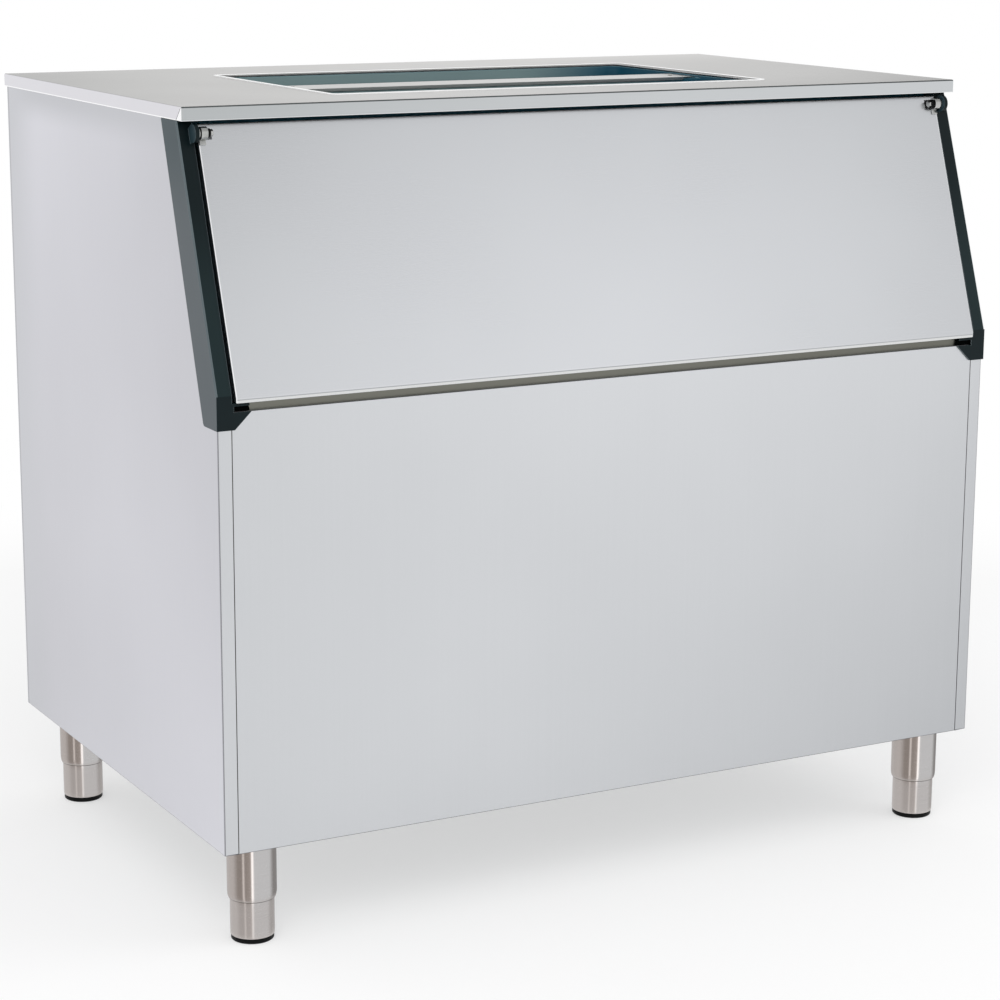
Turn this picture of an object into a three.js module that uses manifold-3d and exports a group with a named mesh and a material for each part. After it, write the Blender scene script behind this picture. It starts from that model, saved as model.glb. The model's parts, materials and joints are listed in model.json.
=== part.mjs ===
// Ice storage bin: an insulated stainless cabinet on four adjustable legs, with a lift-up
// sloping door at the front and a drop opening in the top for the ice machine that stands on it.
// Millimetres, +Z up, front towards -Y. The origin is on the floor, under the middle of the
// whole object.

import * as THREE from 'three';
import { mergeVertices } from 'three/addons/utils/BufferGeometryUtils.js';
import Module from 'manifold-3d';

const wasm = await Module();
wasm.setup();

// Cabinet
const cabinetWidth = 1250;
const cabinetDepth = 810;
const cabinetHeight = 1000;
const legHeight = 143;
const sheet = 1;
const seatGap = 0.3;
const foamWall = 50;
const linerWall = 3;
const cutOverrun = 4;
const flatTolerance = 0.01;
const arcSegments = 6;
const roundSides = 32;
const hexSides = 6;

// Front panel, side panels and the flanges folded on them
const frontPanelHeight = 610;
const cornerFlange = 20;
const cornerSeam = 0.6;
const bottomFlange = 9;
const topFlange = 18;
const frontPanelReturn = 4.5;

// Top panel
const topLipDepth = 19;
const topSideOverhang = 2;
const topRearOverhang = 6;
const topFrontOverhang = 20.5;
const topBendRadius = 2;
const mitreSlit = 0.6;

// Sloping front: s runs up the slope and d runs inwards from the face of the door trims
const doorTiltDegrees = 19.2;
const slopeStartRise = 22;
const trimProud = 3;

// Door trims
const trimWall = 1.6;
const trimFaceWidth = 21.9;
const trimCornerChamfer = 2;
const trimTopGap = 0.5;
const trimFlangeTopWidth = 53;
const trimFlangeFootWidth = 46;
const trimFlangeCornerRadius = 7;
const footDrop = 46;
const hookReach = 28;
const hookBottomInset = 24;
const hookEndDraft = 3.5;
const hookShelf = 4;
const hookRecessHeight = 8;
const hookRecessDepth = 5;
const hookRecessSide = 3;
const hookRise = 11.5;

// Door
const doorSideGap = 4;
const doorTopGap = 5;
const doorRestGap = 0.5;
const doorProud = 5;
const doorEdgeBand = 8;
const doorPanDepth = 17;
const doorInnerWall = 2.5;
const doorPlugDepth = 29;
const plugClearance = 12;
const plugRadius = 35;
const gasketWidth = 14;
const gasketInset = 13;
const gasketTopInset = 17;
const gasketGrooveWidth = 4;
const gasketGrooveDepth = 1.5;

// Access opening behind the door
const faceFrameDepth = 24;
const faceFrameWall = 4;
const accessBottom = 32;
const accessTopInset = 40.5;
const accessSideInset = 73;
const accessRadius = 45;
const sillRecess = 6;
const sillDrop = 20;
const sillTopGap = 1;

// Ice cavity
const tubBottomRadius = 40;
const tubTopRadius = 12;

// Drop opening, its edge strip, the throat under it and the rail across it
const openingWidth = 706;
const openingDepth = 418;
const openingFront = 212;
const openingRadius = 6;
const edgeStripWidth = 8;
const edgeStripWall = 1.2;
const edgeStripUnderWidth = 6;
const throatWall = 3;
const throatFlange = 14;
const throatRadius = 20;
const railWidth = 76;
const railWall = 1.2;
const railLip = 4.7;
const railBelowTop = 5;
const railOverBridge = 2;
const railScrewRadius = 4;
const railScrewTopRadius = 2.8;
const railScrewHead = 1.6;
const railScrewInset = 22;

// Hinges at the top corners of the door
const hingeDrop = 14.3;
const hingeStandoff = 6.1;
const pinRadius = 4;
const pinRunningGap = 0.3;
const pinHeadFlats = 8.8;
const pinHeadLength = 4;
const pinHeadChamfer = 1;
const bushRadius = 6;
const bushCollarLength = 5;
const strapWall = 2.5;
const strapWidth = 9;
const strapTailEnd = 15;
const strapTailWall = 2;
const strapEdgeGap = 0.5;
const washerRadius = 7;
const washerLength = 2.8;
const lugRadius = 12.5;
const lugLength = 6;
const lugSkin = 1.2;
const lugShoulder = 11;
const recessGap = 0.8;

// Legs and their screw-out feet
const legInset = 60;
const legFrontInset = 50;
const legRearInset = 81;
const legRadius = 34.5;
const legWall = 1.5;
const legStraight = 71;
const legRollHeight = 11;
const legPlateSize = 78;
const legPlateThickness = 2;
const legPlateRadius = 8;
const footRadius = 31;
const footWall = 2;
const footRunningGap = 0.4;
const footInside = 55;
const footFloor = 3;
const padThickness = 7;
const padRadius = 30;
const padEdge = 1.5;

// Drain in the floor of the cavity
const drainFromBack = 190;
const drainBoreRadius = 13;
const drainWall = 3;
const drainFlangeRadius = 30;
const drainFlangeThickness = 3;
const drainBelowCabinet = 42;
const drainHoleGap = 1;
const drainNutRadius = 25;
const drainNutThickness = 9;
const drainPlateSize = 170;
const drainPlateOverlap = 15;
const strainerRadius = 24;
const strainerThickness = 2;
const strainerSlotLength = 26;
const strainerSlotWidth = 3.4;
const strainerSlotPitch = 7;
const strainerSlots = 5;

// Back panel screws
const backScrewRadius = 4.5;
const backScrewHead = 2;
const backScrewInset = 10;
const backScrewRows = 3;
const backScrewEndInset = 60;

// Places worked out from the sizes above
const halfWidth = cabinetWidth / 2;
const bodyBottom = legHeight;
const bodyTop = bodyBottom + cabinetHeight;
const frontPanelTop = bodyBottom + frontPanelHeight;
const tilt = THREE.MathUtils.degToRad(doorTiltDegrees);
const slopeStart = frontPanelTop + slopeStartRise;
const lipBottom = bodyTop - topLipDepth;
const topSeat = bodyTop - sheet - seatGap;
const panelDepth = trimWall + seatGap;
const trimInner = halfWidth + seatGap + trimWall - trimFaceWidth;
const trimOuter = halfWidth + seatGap + trimWall;
const doorHalfWidth = trimInner - doorSideGap;
const shelfTop = frontPanelTop + hookRise;
const doorBottom = shelfTop + doorRestGap;
const faceFrameInner = faceFrameDepth + linerWall;
const faceFrameBack = faceFrameDepth + faceFrameWall;
const cavityHalfWidth = halfWidth - sheet - foamWall - linerWall;
const cavityFront = sheet + foamWall + linerWall;
const cavityBack = cabinetDepth - sheet - foamWall - linerWall;
const cavityFloor = bodyBottom + sheet + foamWall + linerWall;
const cavityTop = bodyTop - sheet - foamWall - linerWall;
const openingHalfWidth = openingWidth / 2;
const openingBack = openingFront + openingDepth;
const drainY = cabinetDepth - drainFromBack;
const drainPlateSeat = bodyBottom + 2 * (sheet + seatGap);
const ledgeHeight = slopePoint(accessBottom, faceFrameInner)[1];
const lipFront = slopePoint(slopeAtHeight(lipBottom, 0), 0)[0] - topFrontOverhang;
const doorTopS = slopeAtHeight(lipBottom - doorTopGap, -doorProud);
const accessTop = doorTopS - accessTopInset;
const accessHalfWidth = halfWidth - accessSideInset;
const doorBackDepth = doorPanDepth - doorProud;
const hingeS = doorTopS - hingeDrop;
const hingeD = -(doorProud + hingeStandoff);
const [hingeY, hingeZ] = slopePoint(hingeS, hingeD);
const recessRadius = bushRadius + pinRunningGap + strapWall + recessGap;
const frontMost = slopePoint(slopeAtHeight(doorBottom + doorEdgeBand, -doorProud), -doorProud)[0];
const backMost = cabinetDepth + topRearOverhang;
const middleY = (frontMost + backMost) / 2;

// Finishes
const finishes = {
  paleSteel: { color: 0xc9cacf, roughness: 0.38, metalness: 0.9 },
  brushedSteel: { color: 0xbfbfbd, roughness: 0.32, metalness: 1 },
  topSteel: { color: 0xc8c7c4, roughness: 0.42, metalness: 0.9 },
  sillSteel: { color: 0x74746c, roughness: 0.5, metalness: 0.8 },
  galvanised: { color: 0xb4b7b8, roughness: 0.5, metalness: 0.8 },
  darkPlastic: { color: 0x2a3436, roughness: 0.5, metalness: 0 },
  blackPlastic: { color: 0x141617, roughness: 0.55, metalness: 0 },
  tealPlastic: { color: 0x2f5f70, roughness: 0.45, metalness: 0 },
  whitePlastic: { color: 0xf4f5f5, roughness: 0.5, metalness: 0 },
  gasketRubber: { color: 0x5c6366, roughness: 0.8, metalness: 0 },
  foam: { color: 0xd9cf9a, roughness: 0.95, metalness: 0 },
};

// Place on the sloping front, as [y, z], from the distance up the slope and the depth
function slopePoint(s, d) {
  const y = -trimProud + s * Math.sin(tilt) + d * Math.cos(tilt);
  const z = slopeStart + s * Math.cos(tilt) - d * Math.sin(tilt);
  return [y, z];
}

// Distance up the slope at which depth d is at height z
function slopeAtHeight(z, d) {
  return (z - slopeStart + d * Math.sin(tilt)) / Math.cos(tilt);
}

function slopePointAtHeight(z, d) {
  return slopePoint(slopeAtHeight(z, d), d);
}

// Boolean solids
function toSolid(geometry) {
  const bare = geometry.clone();
  bare.deleteAttribute('normal');
  bare.deleteAttribute('uv');
  const merged = mergeVertices(bare);
  return new wasm.Manifold(new wasm.Mesh({
    numProp: 3,
    vertProperties: merged.attributes.position.array,
    triVerts: new Uint32Array(merged.index.array),
  }));
}

// Flat faces that the joins and cuts left in strips become whole again
function toGeometry(solid) {
  const mesh = solid.asOriginal().simplify(flatTolerance).getMesh();
  const geometry = new THREE.BufferGeometry();
  const positions = new Float32Array(mesh.vertProperties);
  geometry.setAttribute('position', new THREE.BufferAttribute(positions, 3));
  geometry.setIndex(new THREE.BufferAttribute(new Uint32Array(mesh.triVerts), 1));
  geometry.computeVertexNormals();
  return geometry;
}

function joined(solids) {
  return solids.reduce((whole, solid) => whole.add(solid));
}

// Same solid on the other side of the middle plane
function mirrored(solid) {
  const mesh = solid.getMesh();
  const positions = mesh.vertProperties.map((value, i) => (i % 3 === 0 ? -value : value));
  const triangles = mesh.triVerts.slice();
  for (let i = 0; i < triangles.length; i += 3) {
    [triangles[i], triangles[i + 1]] = [triangles[i + 1], triangles[i]];
  }
  return new wasm.Manifold(new wasm.Mesh({
    numProp: 3,
    vertProperties: new Float32Array(positions),
    triVerts: new Uint32Array(triangles),
  }));
}

// Outlines
function outline(points) {
  return new THREE.Shape(points.map(([a, b]) => new THREE.Vector2(a, b)));
}

// Outline whose corners are rounded, each by its own radius, zero for a sharp one
function roundedOutline(points, radii) {
  const corners = points.map(([a, b]) => new THREE.Vector2(a, b));
  const shape = new THREE.Shape();
  corners.forEach((corner, i) => {
    const before = corners[(i + corners.length - 1) % corners.length];
    const after = corners[(i + 1) % corners.length];
    const back = before.clone().sub(corner).normalize();
    const ahead = after.clone().sub(corner).normalize();
    const halfAngle = Math.acos(THREE.MathUtils.clamp(back.dot(ahead), -1, 1)) / 2;
    const setBack = radii[i] / Math.tan(halfAngle);
    const start = corner.clone().addScaledVector(back, setBack);
    const end = corner.clone().addScaledVector(ahead, setBack);
    if (i === 0) shape.moveTo(start.x, start.y);
    else shape.lineTo(start.x, start.y);
    if (radii[i] > 0) shape.quadraticCurveTo(corner.x, corner.y, end.x, end.y);
  });
  shape.closePath();
  return shape;
}

function rectangle(a0, b0, a1, b1, radius) {
  const corners = [[a0, b0], [a1, b0], [a1, b1], [a0, b1]];
  return radius > 0 ? roundedOutline(corners, corners.map(() => radius)) : outline(corners);
}

function frameShape(outer, inner) {
  outer.holes.push(new THREE.Path(inner.getPoints(arcSegments)));
  return outer;
}

// Extrusions
const alongX = new THREE.Vector3(1, 0, 0);
const alongY = new THREE.Vector3(0, 1, 0);
const alongZ = new THREE.Vector3(0, 0, 1);
const upSlope = new THREE.Vector3(0, Math.sin(tilt), Math.cos(tilt));
const outOfSlope = new THREE.Vector3(0, -Math.cos(tilt), Math.sin(tilt));

function extruded(shape, from, to, segments) {
  const settings = { depth: to - from, bevelEnabled: false, curveSegments: segments };
  return new THREE.ExtrudeGeometry(shape, settings).translate(0, 0, from);
}

// Outline in Y and Z, extruded across the cabinet
function acrossX(shape, fromX, toX, segments = arcSegments) {
  const basis = new THREE.Matrix4().makeBasis(alongY, alongZ, alongX);
  return toSolid(extruded(shape, fromX, toX, segments).applyMatrix4(basis));
}

// Outline in X and Z, extruded from front to back
function alongDepth(shape, fromY, toY, segments = arcSegments) {
  const basis = new THREE.Matrix4().makeBasis(alongX, alongZ, alongY.clone().negate());
  return toSolid(extruded(shape, -toY, -fromY, segments).applyMatrix4(basis));
}

// Outline in X and Y, extruded upwards
function upwards(shape, fromZ, toZ, segments = arcSegments) {
  return toSolid(extruded(shape, fromZ, toZ, segments));
}

// Outline in X and distance up the slope, extruded through the slope between two depths
function throughSlope(shape, outerD, innerD, segments = arcSegments) {
  const basis = new THREE.Matrix4().makeBasis(alongX, upSlope, outOfSlope);
  basis.setPosition(0, -trimProud, slopeStart);
  return toSolid(extruded(shape, -innerD, -outerD, segments).applyMatrix4(basis));
}

// Outline in depth (as -d) and X, extruded up the slope
function upTheSlope(shape, fromS, toS, segments = arcSegments) {
  const basis = new THREE.Matrix4().makeBasis(outOfSlope, alongX, upSlope);
  basis.setPosition(0, -trimProud, slopeStart);
  return toSolid(extruded(shape, fromS, toS, segments).applyMatrix4(basis));
}

function block(x0, x1, y0, y1, z0, z1) {
  const box = new THREE.BoxGeometry(x1 - x0, y1 - y0, z1 - z0);
  return toSolid(box.translate((x0 + x1) / 2, (y0 + y1) / 2, (z0 + z1) / 2));
}

// Revolved profile of [radius, height] points, its axis upright at x, y
function turned(points, x, y, sides = roundSides) {
  const profile = points.map(([r, z]) => new THREE.Vector2(r, z));
  const lathe = new THREE.LatheGeometry(profile, sides);
  return toSolid(lathe.rotateX(Math.PI / 2).translate(x, y, 0));
}

// Revolved profile of [radius, x] points, its axis on the hinge line
function turnedOnHinge(points, sides = roundSides) {
  const profile = points.map(([r, x]) => new THREE.Vector2(r, x));
  const lathe = new THREE.LatheGeometry(profile, sides);
  return toSolid(lathe.rotateZ(-Math.PI / 2).translate(0, hingeY, hingeZ));
}

function tubeProfile(innerRadius, outerRadius, from, to) {
  const corners = [[innerRadius, from], [outerRadius, from], [outerRadius, to], [innerRadius, to]];
  return [...corners, corners[0]];
}

function rodProfile(radius, from, to) {
  return [[0, from], [radius, from], [radius, to], [0, to]];
}

// Side panel: one sheet with its front, sloping, top, rear and bottom flanges
function sidePanel() {
  const kink = [0, slopePoint((trimProud - panelDepth * Math.cos(tilt)) / Math.sin(tilt), panelDepth)[1]];
  const topFront = slopePointAtHeight(topSeat, panelDepth);
  const web = acrossX(outline([
    [0, bodyBottom], [cabinetDepth, bodyBottom], [cabinetDepth, topSeat], topFront, kink,
  ]), halfWidth - sheet, halfWidth);
  const flangeInner = halfWidth - cornerFlange;
  const front = block(flangeInner, halfWidth, 0, sheet, bodyBottom, kink[1]);
  const besideTrim = block(
    flangeInner - cutOverrun, trimInner + trimWall + seatGap,
    -cutOverrun, sheet + cutOverrun, frontPanelTop, kink[1] + cutOverrun);
  const slopeInner = panelDepth + sheet;
  const slope = acrossX(outline([
    kink, topFront, slopePointAtHeight(topSeat, slopeInner), slopePointAtHeight(kink[1], slopeInner),
  ]), trimInner + trimWall + seatGap, halfWidth);
  const top = block(
    halfWidth - topFlange, halfWidth, topFront[0] + sheet / 2, cabinetDepth - sheet - seatGap,
    topSeat - sheet, topSeat);
  const rear = block(
    flangeInner, halfWidth, cabinetDepth - 2 * sheet - seatGap, cabinetDepth - sheet - seatGap,
    bodyBottom, topSeat);
  const bottom = block(
    halfWidth - sheet - bottomFlange, halfWidth, 0, cabinetDepth - sheet - seatGap,
    bodyBottom, bodyBottom + sheet);
  return joined([web, front.subtract(besideTrim), slope, top, rear, bottom]);
}

// Front panel: flat, folded back along its top and bottom edges
function frontPanel() {
  const half = halfWidth - cornerFlange - cornerSeam;
  return joined([
    block(-half, half, 0, sheet, bodyBottom, frontPanelTop),
    block(-half, half, 0, sheet + frontPanelReturn, frontPanelTop - sheet, frontPanelTop),
    block(-half, half, 0, sheet + bottomFlange, bodyBottom, bodyBottom + sheet),
  ]);
}

// Back panel: lies on the rear flanges of the side panels, folded in along its top and bottom
function backPanel() {
  const half = halfWidth - sheet - seatGap;
  const flangeHalf = halfWidth - cornerFlange - seatGap;
  const outer = cabinetDepth - sheet;
  return joined([
    block(-half, half, outer, cabinetDepth, bodyBottom, topSeat),
    block(-flangeHalf, flangeHalf, outer - topFlange, cabinetDepth, topSeat - sheet, topSeat),
    block(-flangeHalf, flangeHalf, outer - bottomFlange, cabinetDepth, bodyBottom, bodyBottom + sheet),
  ]);
}

function drainCut(radius) {
  const cut = rodProfile(radius, 0, bodyTop);
  return turned(cut, 0, drainY);
}

// Square block about the drain's axis
function drainSquare(half, bottom, top) {
  return block(-half, half, drainY - half, drainY + half, bottom, top);
}

// Base panel: lies on the bottom flanges, with a square opening at the drain
function basePanel() {
  const half = halfWidth - sheet - seatGap;
  const underside = bodyBottom + sheet + seatGap;
  const plate = block(
    -half, half, sheet + seatGap, cabinetDepth - 2 * sheet - 2 * seatGap, underside, underside + sheet);
  return plate.subtract(drainSquare(drainPlateSize / 2 - drainPlateOverlap, 0, bodyTop));
}

// Drain plate: lies on the base panel over its opening, and the drain is clamped to it
function drainPlate() {
  return drainSquare(drainPlateSize / 2, drainPlateSeat, drainPlateSeat + sheet)
    .subtract(drainCut(drainBoreRadius + drainWall + drainHoleGap));
}

// Tray with rounded upper edges, used for the outside and the inside of the top panel
function topBlock(inset, topZ, bottomZ) {
  const halfX = halfWidth + topSideOverhang - inset;
  const front = lipFront + inset;
  const back = backMost - inset;
  const radius = topBendRadius - inset;
  const section = (from, to) => roundedOutline(
    [[from, bottomZ], [to, bottomZ], [to, topZ], [from, topZ]], [0, 0, radius, radius]);
  return alongDepth(section(-halfX, halfX), front, back)
    .intersect(acrossX(section(front, back), -halfX, halfX));
}

// Slit of the mitre on one side lip: it runs at 45 degrees from the top front corner
function mitreCut() {
  const top = bodyTop - topBendRadius;
  const outerX = halfWidth + topSideOverhang;
  const reach = top - lipBottom + cutOverrun;
  const start = lipFront + topBendRadius;
  return acrossX(outline([
    [start, top], [start + mitreSlit, top],
    [start + mitreSlit + reach, top - reach], [start + reach, top - reach],
  ]), outerX - sheet - cutOverrun, outerX + cutOverrun);
}

// Top panel: flat sheet with folded lips, mitred at the front corners, and the drop opening
function topPanel() {
  const outer = topBlock(0, bodyTop, lipBottom);
  const inner = topBlock(sheet, bodyTop - sheet, lipBottom - cutOverrun);
  const holeInset = edgeStripWidth - edgeStripWall - seatGap;
  const hole = upwards(rectangle(
    -openingHalfWidth + holeInset, openingFront + holeInset,
    openingHalfWidth - holeInset, openingBack - holeInset, openingRadius),
  bodyTop - sheet - cutOverrun, bodyTop + cutOverrun);
  const slit = mitreCut();
  return outer.subtract(inner).subtract(hole).subtract(slit).subtract(mirrored(slit));
}

// Frame round the drop opening, between two insets from its outer edge
function openingFrame(outerInset, innerInset, radius, fromZ, toZ) {
  const outer = rectangle(
    -openingHalfWidth + outerInset, openingFront + outerInset,
    openingHalfWidth - outerInset, openingBack - outerInset, radius);
  const inner = rectangle(
    -openingHalfWidth + innerInset, openingFront + innerInset,
    openingHalfWidth - innerInset, openingBack - innerInset, radius);
  return upwards(frameShape(outer, inner), fromZ, toZ);
}

// Edge strip: a U profile clipped over the edge of the opening
function openingEdgeStrip() {
  const inner = edgeStripWidth;
  const upper = bodyTop + seatGap;
  const lower = bodyTop - sheet - seatGap;
  return joined([
    openingFrame(0, inner, openingRadius, upper, upper + edgeStripWall),
    openingFrame(inner - edgeStripWall, inner, openingRadius, lower - edgeStripWall, upper + edgeStripWall),
    openingFrame(inner - edgeStripUnderWidth, inner, openingRadius, lower - edgeStripWall, lower),
  ]);
}

// Cavity of the bin, grown outwards on every side, open upwards to the given height
function cavityEnvelope(grow, topZ) {
  const slopeDepth = grow > 0 ? (faceFrameDepth + faceFrameInner) / 2 : faceFrameInner;
  const halfX = cavityHalfWidth + grow;
  const floor = cavityFloor - grow;
  const front = cavityFront - grow;
  const back = cavityBack + grow;
  const ledge = ledgeHeight - grow;
  const round = tubBottomRadius + grow;
  const lengthways = roundedOutline([
    [front, floor], [back, floor], [back, topZ],
    slopePointAtHeight(topZ, slopeDepth), slopePointAtHeight(ledge, slopeDepth), [front, ledge],
  ], [round, round, 0, 0, 0, tubTopRadius - grow]);
  const sideways = roundedOutline(
    [[-halfX, floor], [halfX, floor], [halfX, topZ], [-halfX, topZ]], [round, round, 0, 0]);
  return acrossX(lengthways, -halfX, halfX).intersect(alongDepth(sideways, 0, cabinetDepth));
}

// Inner tub, moulded in one with the sloping face frame that the door gasket seals on
function linerTub() {
  const frameHalf = trimInner + trimWall + seatGap + linerWall;
  const frameBottom = slopeAtHeight(doorBottom - doorRestGap, faceFrameDepth) + seatGap;
  const frameTopZ = topSeat - sheet - seatGap;
  const frameTop = slopeAtHeight(bodyTop, faceFrameBack);
  const faceFrame = throughSlope(
    rectangle(-frameHalf, frameBottom, frameHalf, frameTop, 0), faceFrameDepth, faceFrameBack);
  const topCut = block(-halfWidth, halfWidth, 0, cabinetDepth, frameTopZ, bodyTop + foamWall);
  const access = throughSlope(
    rectangle(-accessHalfWidth, accessBottom, accessHalfWidth, accessTop, accessRadius),
    faceFrameDepth - cutOverrun, faceFrameBack + cutOverrun);
  return cavityEnvelope(linerWall, cavityTop)
    .add(faceFrame)
    .subtract(cavityEnvelope(0, cavityTop + cutOverrun))
    .subtract(topCut)
    .subtract(access)
    .subtract(drainCut(drainBoreRadius + drainWall + drainHoleGap));
}

// Sides of the throat and of the two slots in it
const throatHalfWidth = openingHalfWidth - edgeStripWidth;
const throatFront = openingFront + edgeStripWidth;
const throatBack = openingBack - edgeStripWidth;
const railTop = bodyTop - railBelowTop;
const bridgeTop = railTop - railWall - seatGap;
const middleOfOpening = (openingFront + openingBack) / 2;
const bridgeFront = middleOfOpening - railWidth / 2 + railOverBridge;
const bridgeBack = middleOfOpening + railWidth / 2 - railOverBridge;
const throatTop = bodyTop - sheet - seatGap - edgeStripWall - seatGap;
const ceilingUnder = cavityTop + seatGap;

// Ceiling of the cavity, moulded in one with the throat and the hollow bridge between the slots
function throatLiner() {
  const ceilingTop = ceilingUnder + linerWall;
  const ceilingFront = slopePointAtHeight(ceilingTop, faceFrameBack)[0] + seatGap;
  const ceilingHalf = cavityHalfWidth + linerWall;
  const ceiling = block(
    -ceilingHalf, ceilingHalf, ceilingFront, cavityBack + linerWall, ceilingUnder, ceilingTop);
  const collar = upwards(rectangle(
    -throatHalfWidth - throatWall, throatFront - throatWall,
    throatHalfWidth + throatWall, throatBack + throatWall, throatRadius + throatWall),
  ceilingUnder, throatTop);
  const flange = upwards(rectangle(
    -throatHalfWidth - throatFlange, throatFront - throatFlange,
    throatHalfWidth + throatFlange, throatBack + throatFlange, throatRadius),
  throatTop - throatWall, throatTop);
  const mouth = upwards(
    rectangle(-throatHalfWidth, throatFront, throatHalfWidth, throatBack, throatRadius),
    bridgeTop, throatTop + cutOverrun);
  const under = ceilingUnder - cutOverrun;
  const frontSlot = upwards(
    rectangle(-throatHalfWidth, throatFront, throatHalfWidth, bridgeFront, throatRadius),
    under, bridgeTop + cutOverrun);
  const rearSlot = upwards(
    rectangle(-throatHalfWidth, bridgeBack, throatHalfWidth, throatBack, throatRadius),
    under, bridgeTop + cutOverrun);
  const bridgeHollow = block(
    -throatHalfWidth, throatHalfWidth, bridgeFront + throatWall, bridgeBack - throatWall,
    under, bridgeTop - throatWall);
  return joined([ceiling, collar, flange])
    .subtract(mouth).subtract(frontSlot).subtract(rearSlot).subtract(bridgeHollow);
}

// Rail over the bridge, its long edges turned down
function centreRail() {
  const front = middleOfOpening - railWidth / 2;
  const back = middleOfOpening + railWidth / 2;
  const half = throatHalfWidth - seatGap;
  const lipHalf = half - throatRadius;
  const lipZ = railTop - railLip;
  return joined([
    block(-half, half, front, back, railTop - railWall, railTop),
    block(-lipHalf, lipHalf, front, front + railWall, lipZ, railTop),
    block(-lipHalf, lipHalf, back - railWall, back, lipZ, railTop),
  ]);
}

// Low round screw head on the rail
function railScrew(side) {
  const x = side * (throatHalfWidth - railScrewInset);
  const seat = railTop + seatGap;
  const top = seat + railScrewHead;
  return turned(
    [[0, seat], [railScrewRadius, seat], [railScrewTopRadius, top], [0, top]],
    x, middleOfOpening, roundSides / 2);
}

// Foam between the panels and the liner, one solid shell
function insulationFoam() {
  const side = halfWidth - sheet - seatGap;
  const depth = faceFrameBack + seatGap;
  const front = sheet + seatGap;
  const sillBack = sillRecess + sheet + seatGap;
  const sillFoot = frontPanelTop - sillDrop + sillTopGap;
  const underSill = shelfTop - sillTopGap - sheet - seatGap;
  const floor = drainPlateSeat;
  const back = cabinetDepth - 2 * (sheet + seatGap) - seatGap;
  const top = topSeat - sheet - seatGap;
  const body = acrossX(outline([
    [front, floor], [back, floor], [back, top],
    slopePointAtHeight(top, depth), slopePointAtHeight(underSill, depth), [sillBack, underSill],
    [sillBack, sillFoot - seatGap], [front, sillFoot - seatGap],
  ]), -side, side);
  const clear = linerWall + seatGap;
  const tub = cavityEnvelope(clear, ceilingUnder + clear);
  const collarClear = throatWall + seatGap;
  const collar = upwards(rectangle(
    -throatHalfWidth - collarClear, throatFront - collarClear,
    throatHalfWidth + collarClear, throatBack + collarClear, 0),
  cavityTop, bodyTop);
  const flangeClear = throatFlange + seatGap;
  const flange = upwards(rectangle(
    -throatHalfWidth - flangeClear, throatFront - flangeClear,
    throatHalfWidth + flangeClear, throatBack + flangeClear, 0),
  throatTop - throatWall - seatGap, bodyTop);
  const plate = drainSquare(drainPlateSize / 2 + seatGap, 0, drainPlateSeat + sheet + seatGap);
  return body.subtract(tub).subtract(collar).subtract(flange).subtract(plate)
    .subtract(drainCut(drainBoreRadius + drainWall + drainHoleGap));
}

// Sill under the door: an upright strip behind the front panel and a ledge running back
function doorSill() {
  const half = trimInner - seatGap;
  const top = shelfTop - sillTopGap;
  const foot = frontPanelTop - sillDrop + sillTopGap;
  const back = slopePointAtHeight(top, faceFrameDepth)[0] - seatGap;
  return joined([
    block(-half, half, sillRecess, sillRecess + sheet, foot, top),
    block(-half, half, sillRecess, back, top - sheet, top),
  ]);
}

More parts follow.
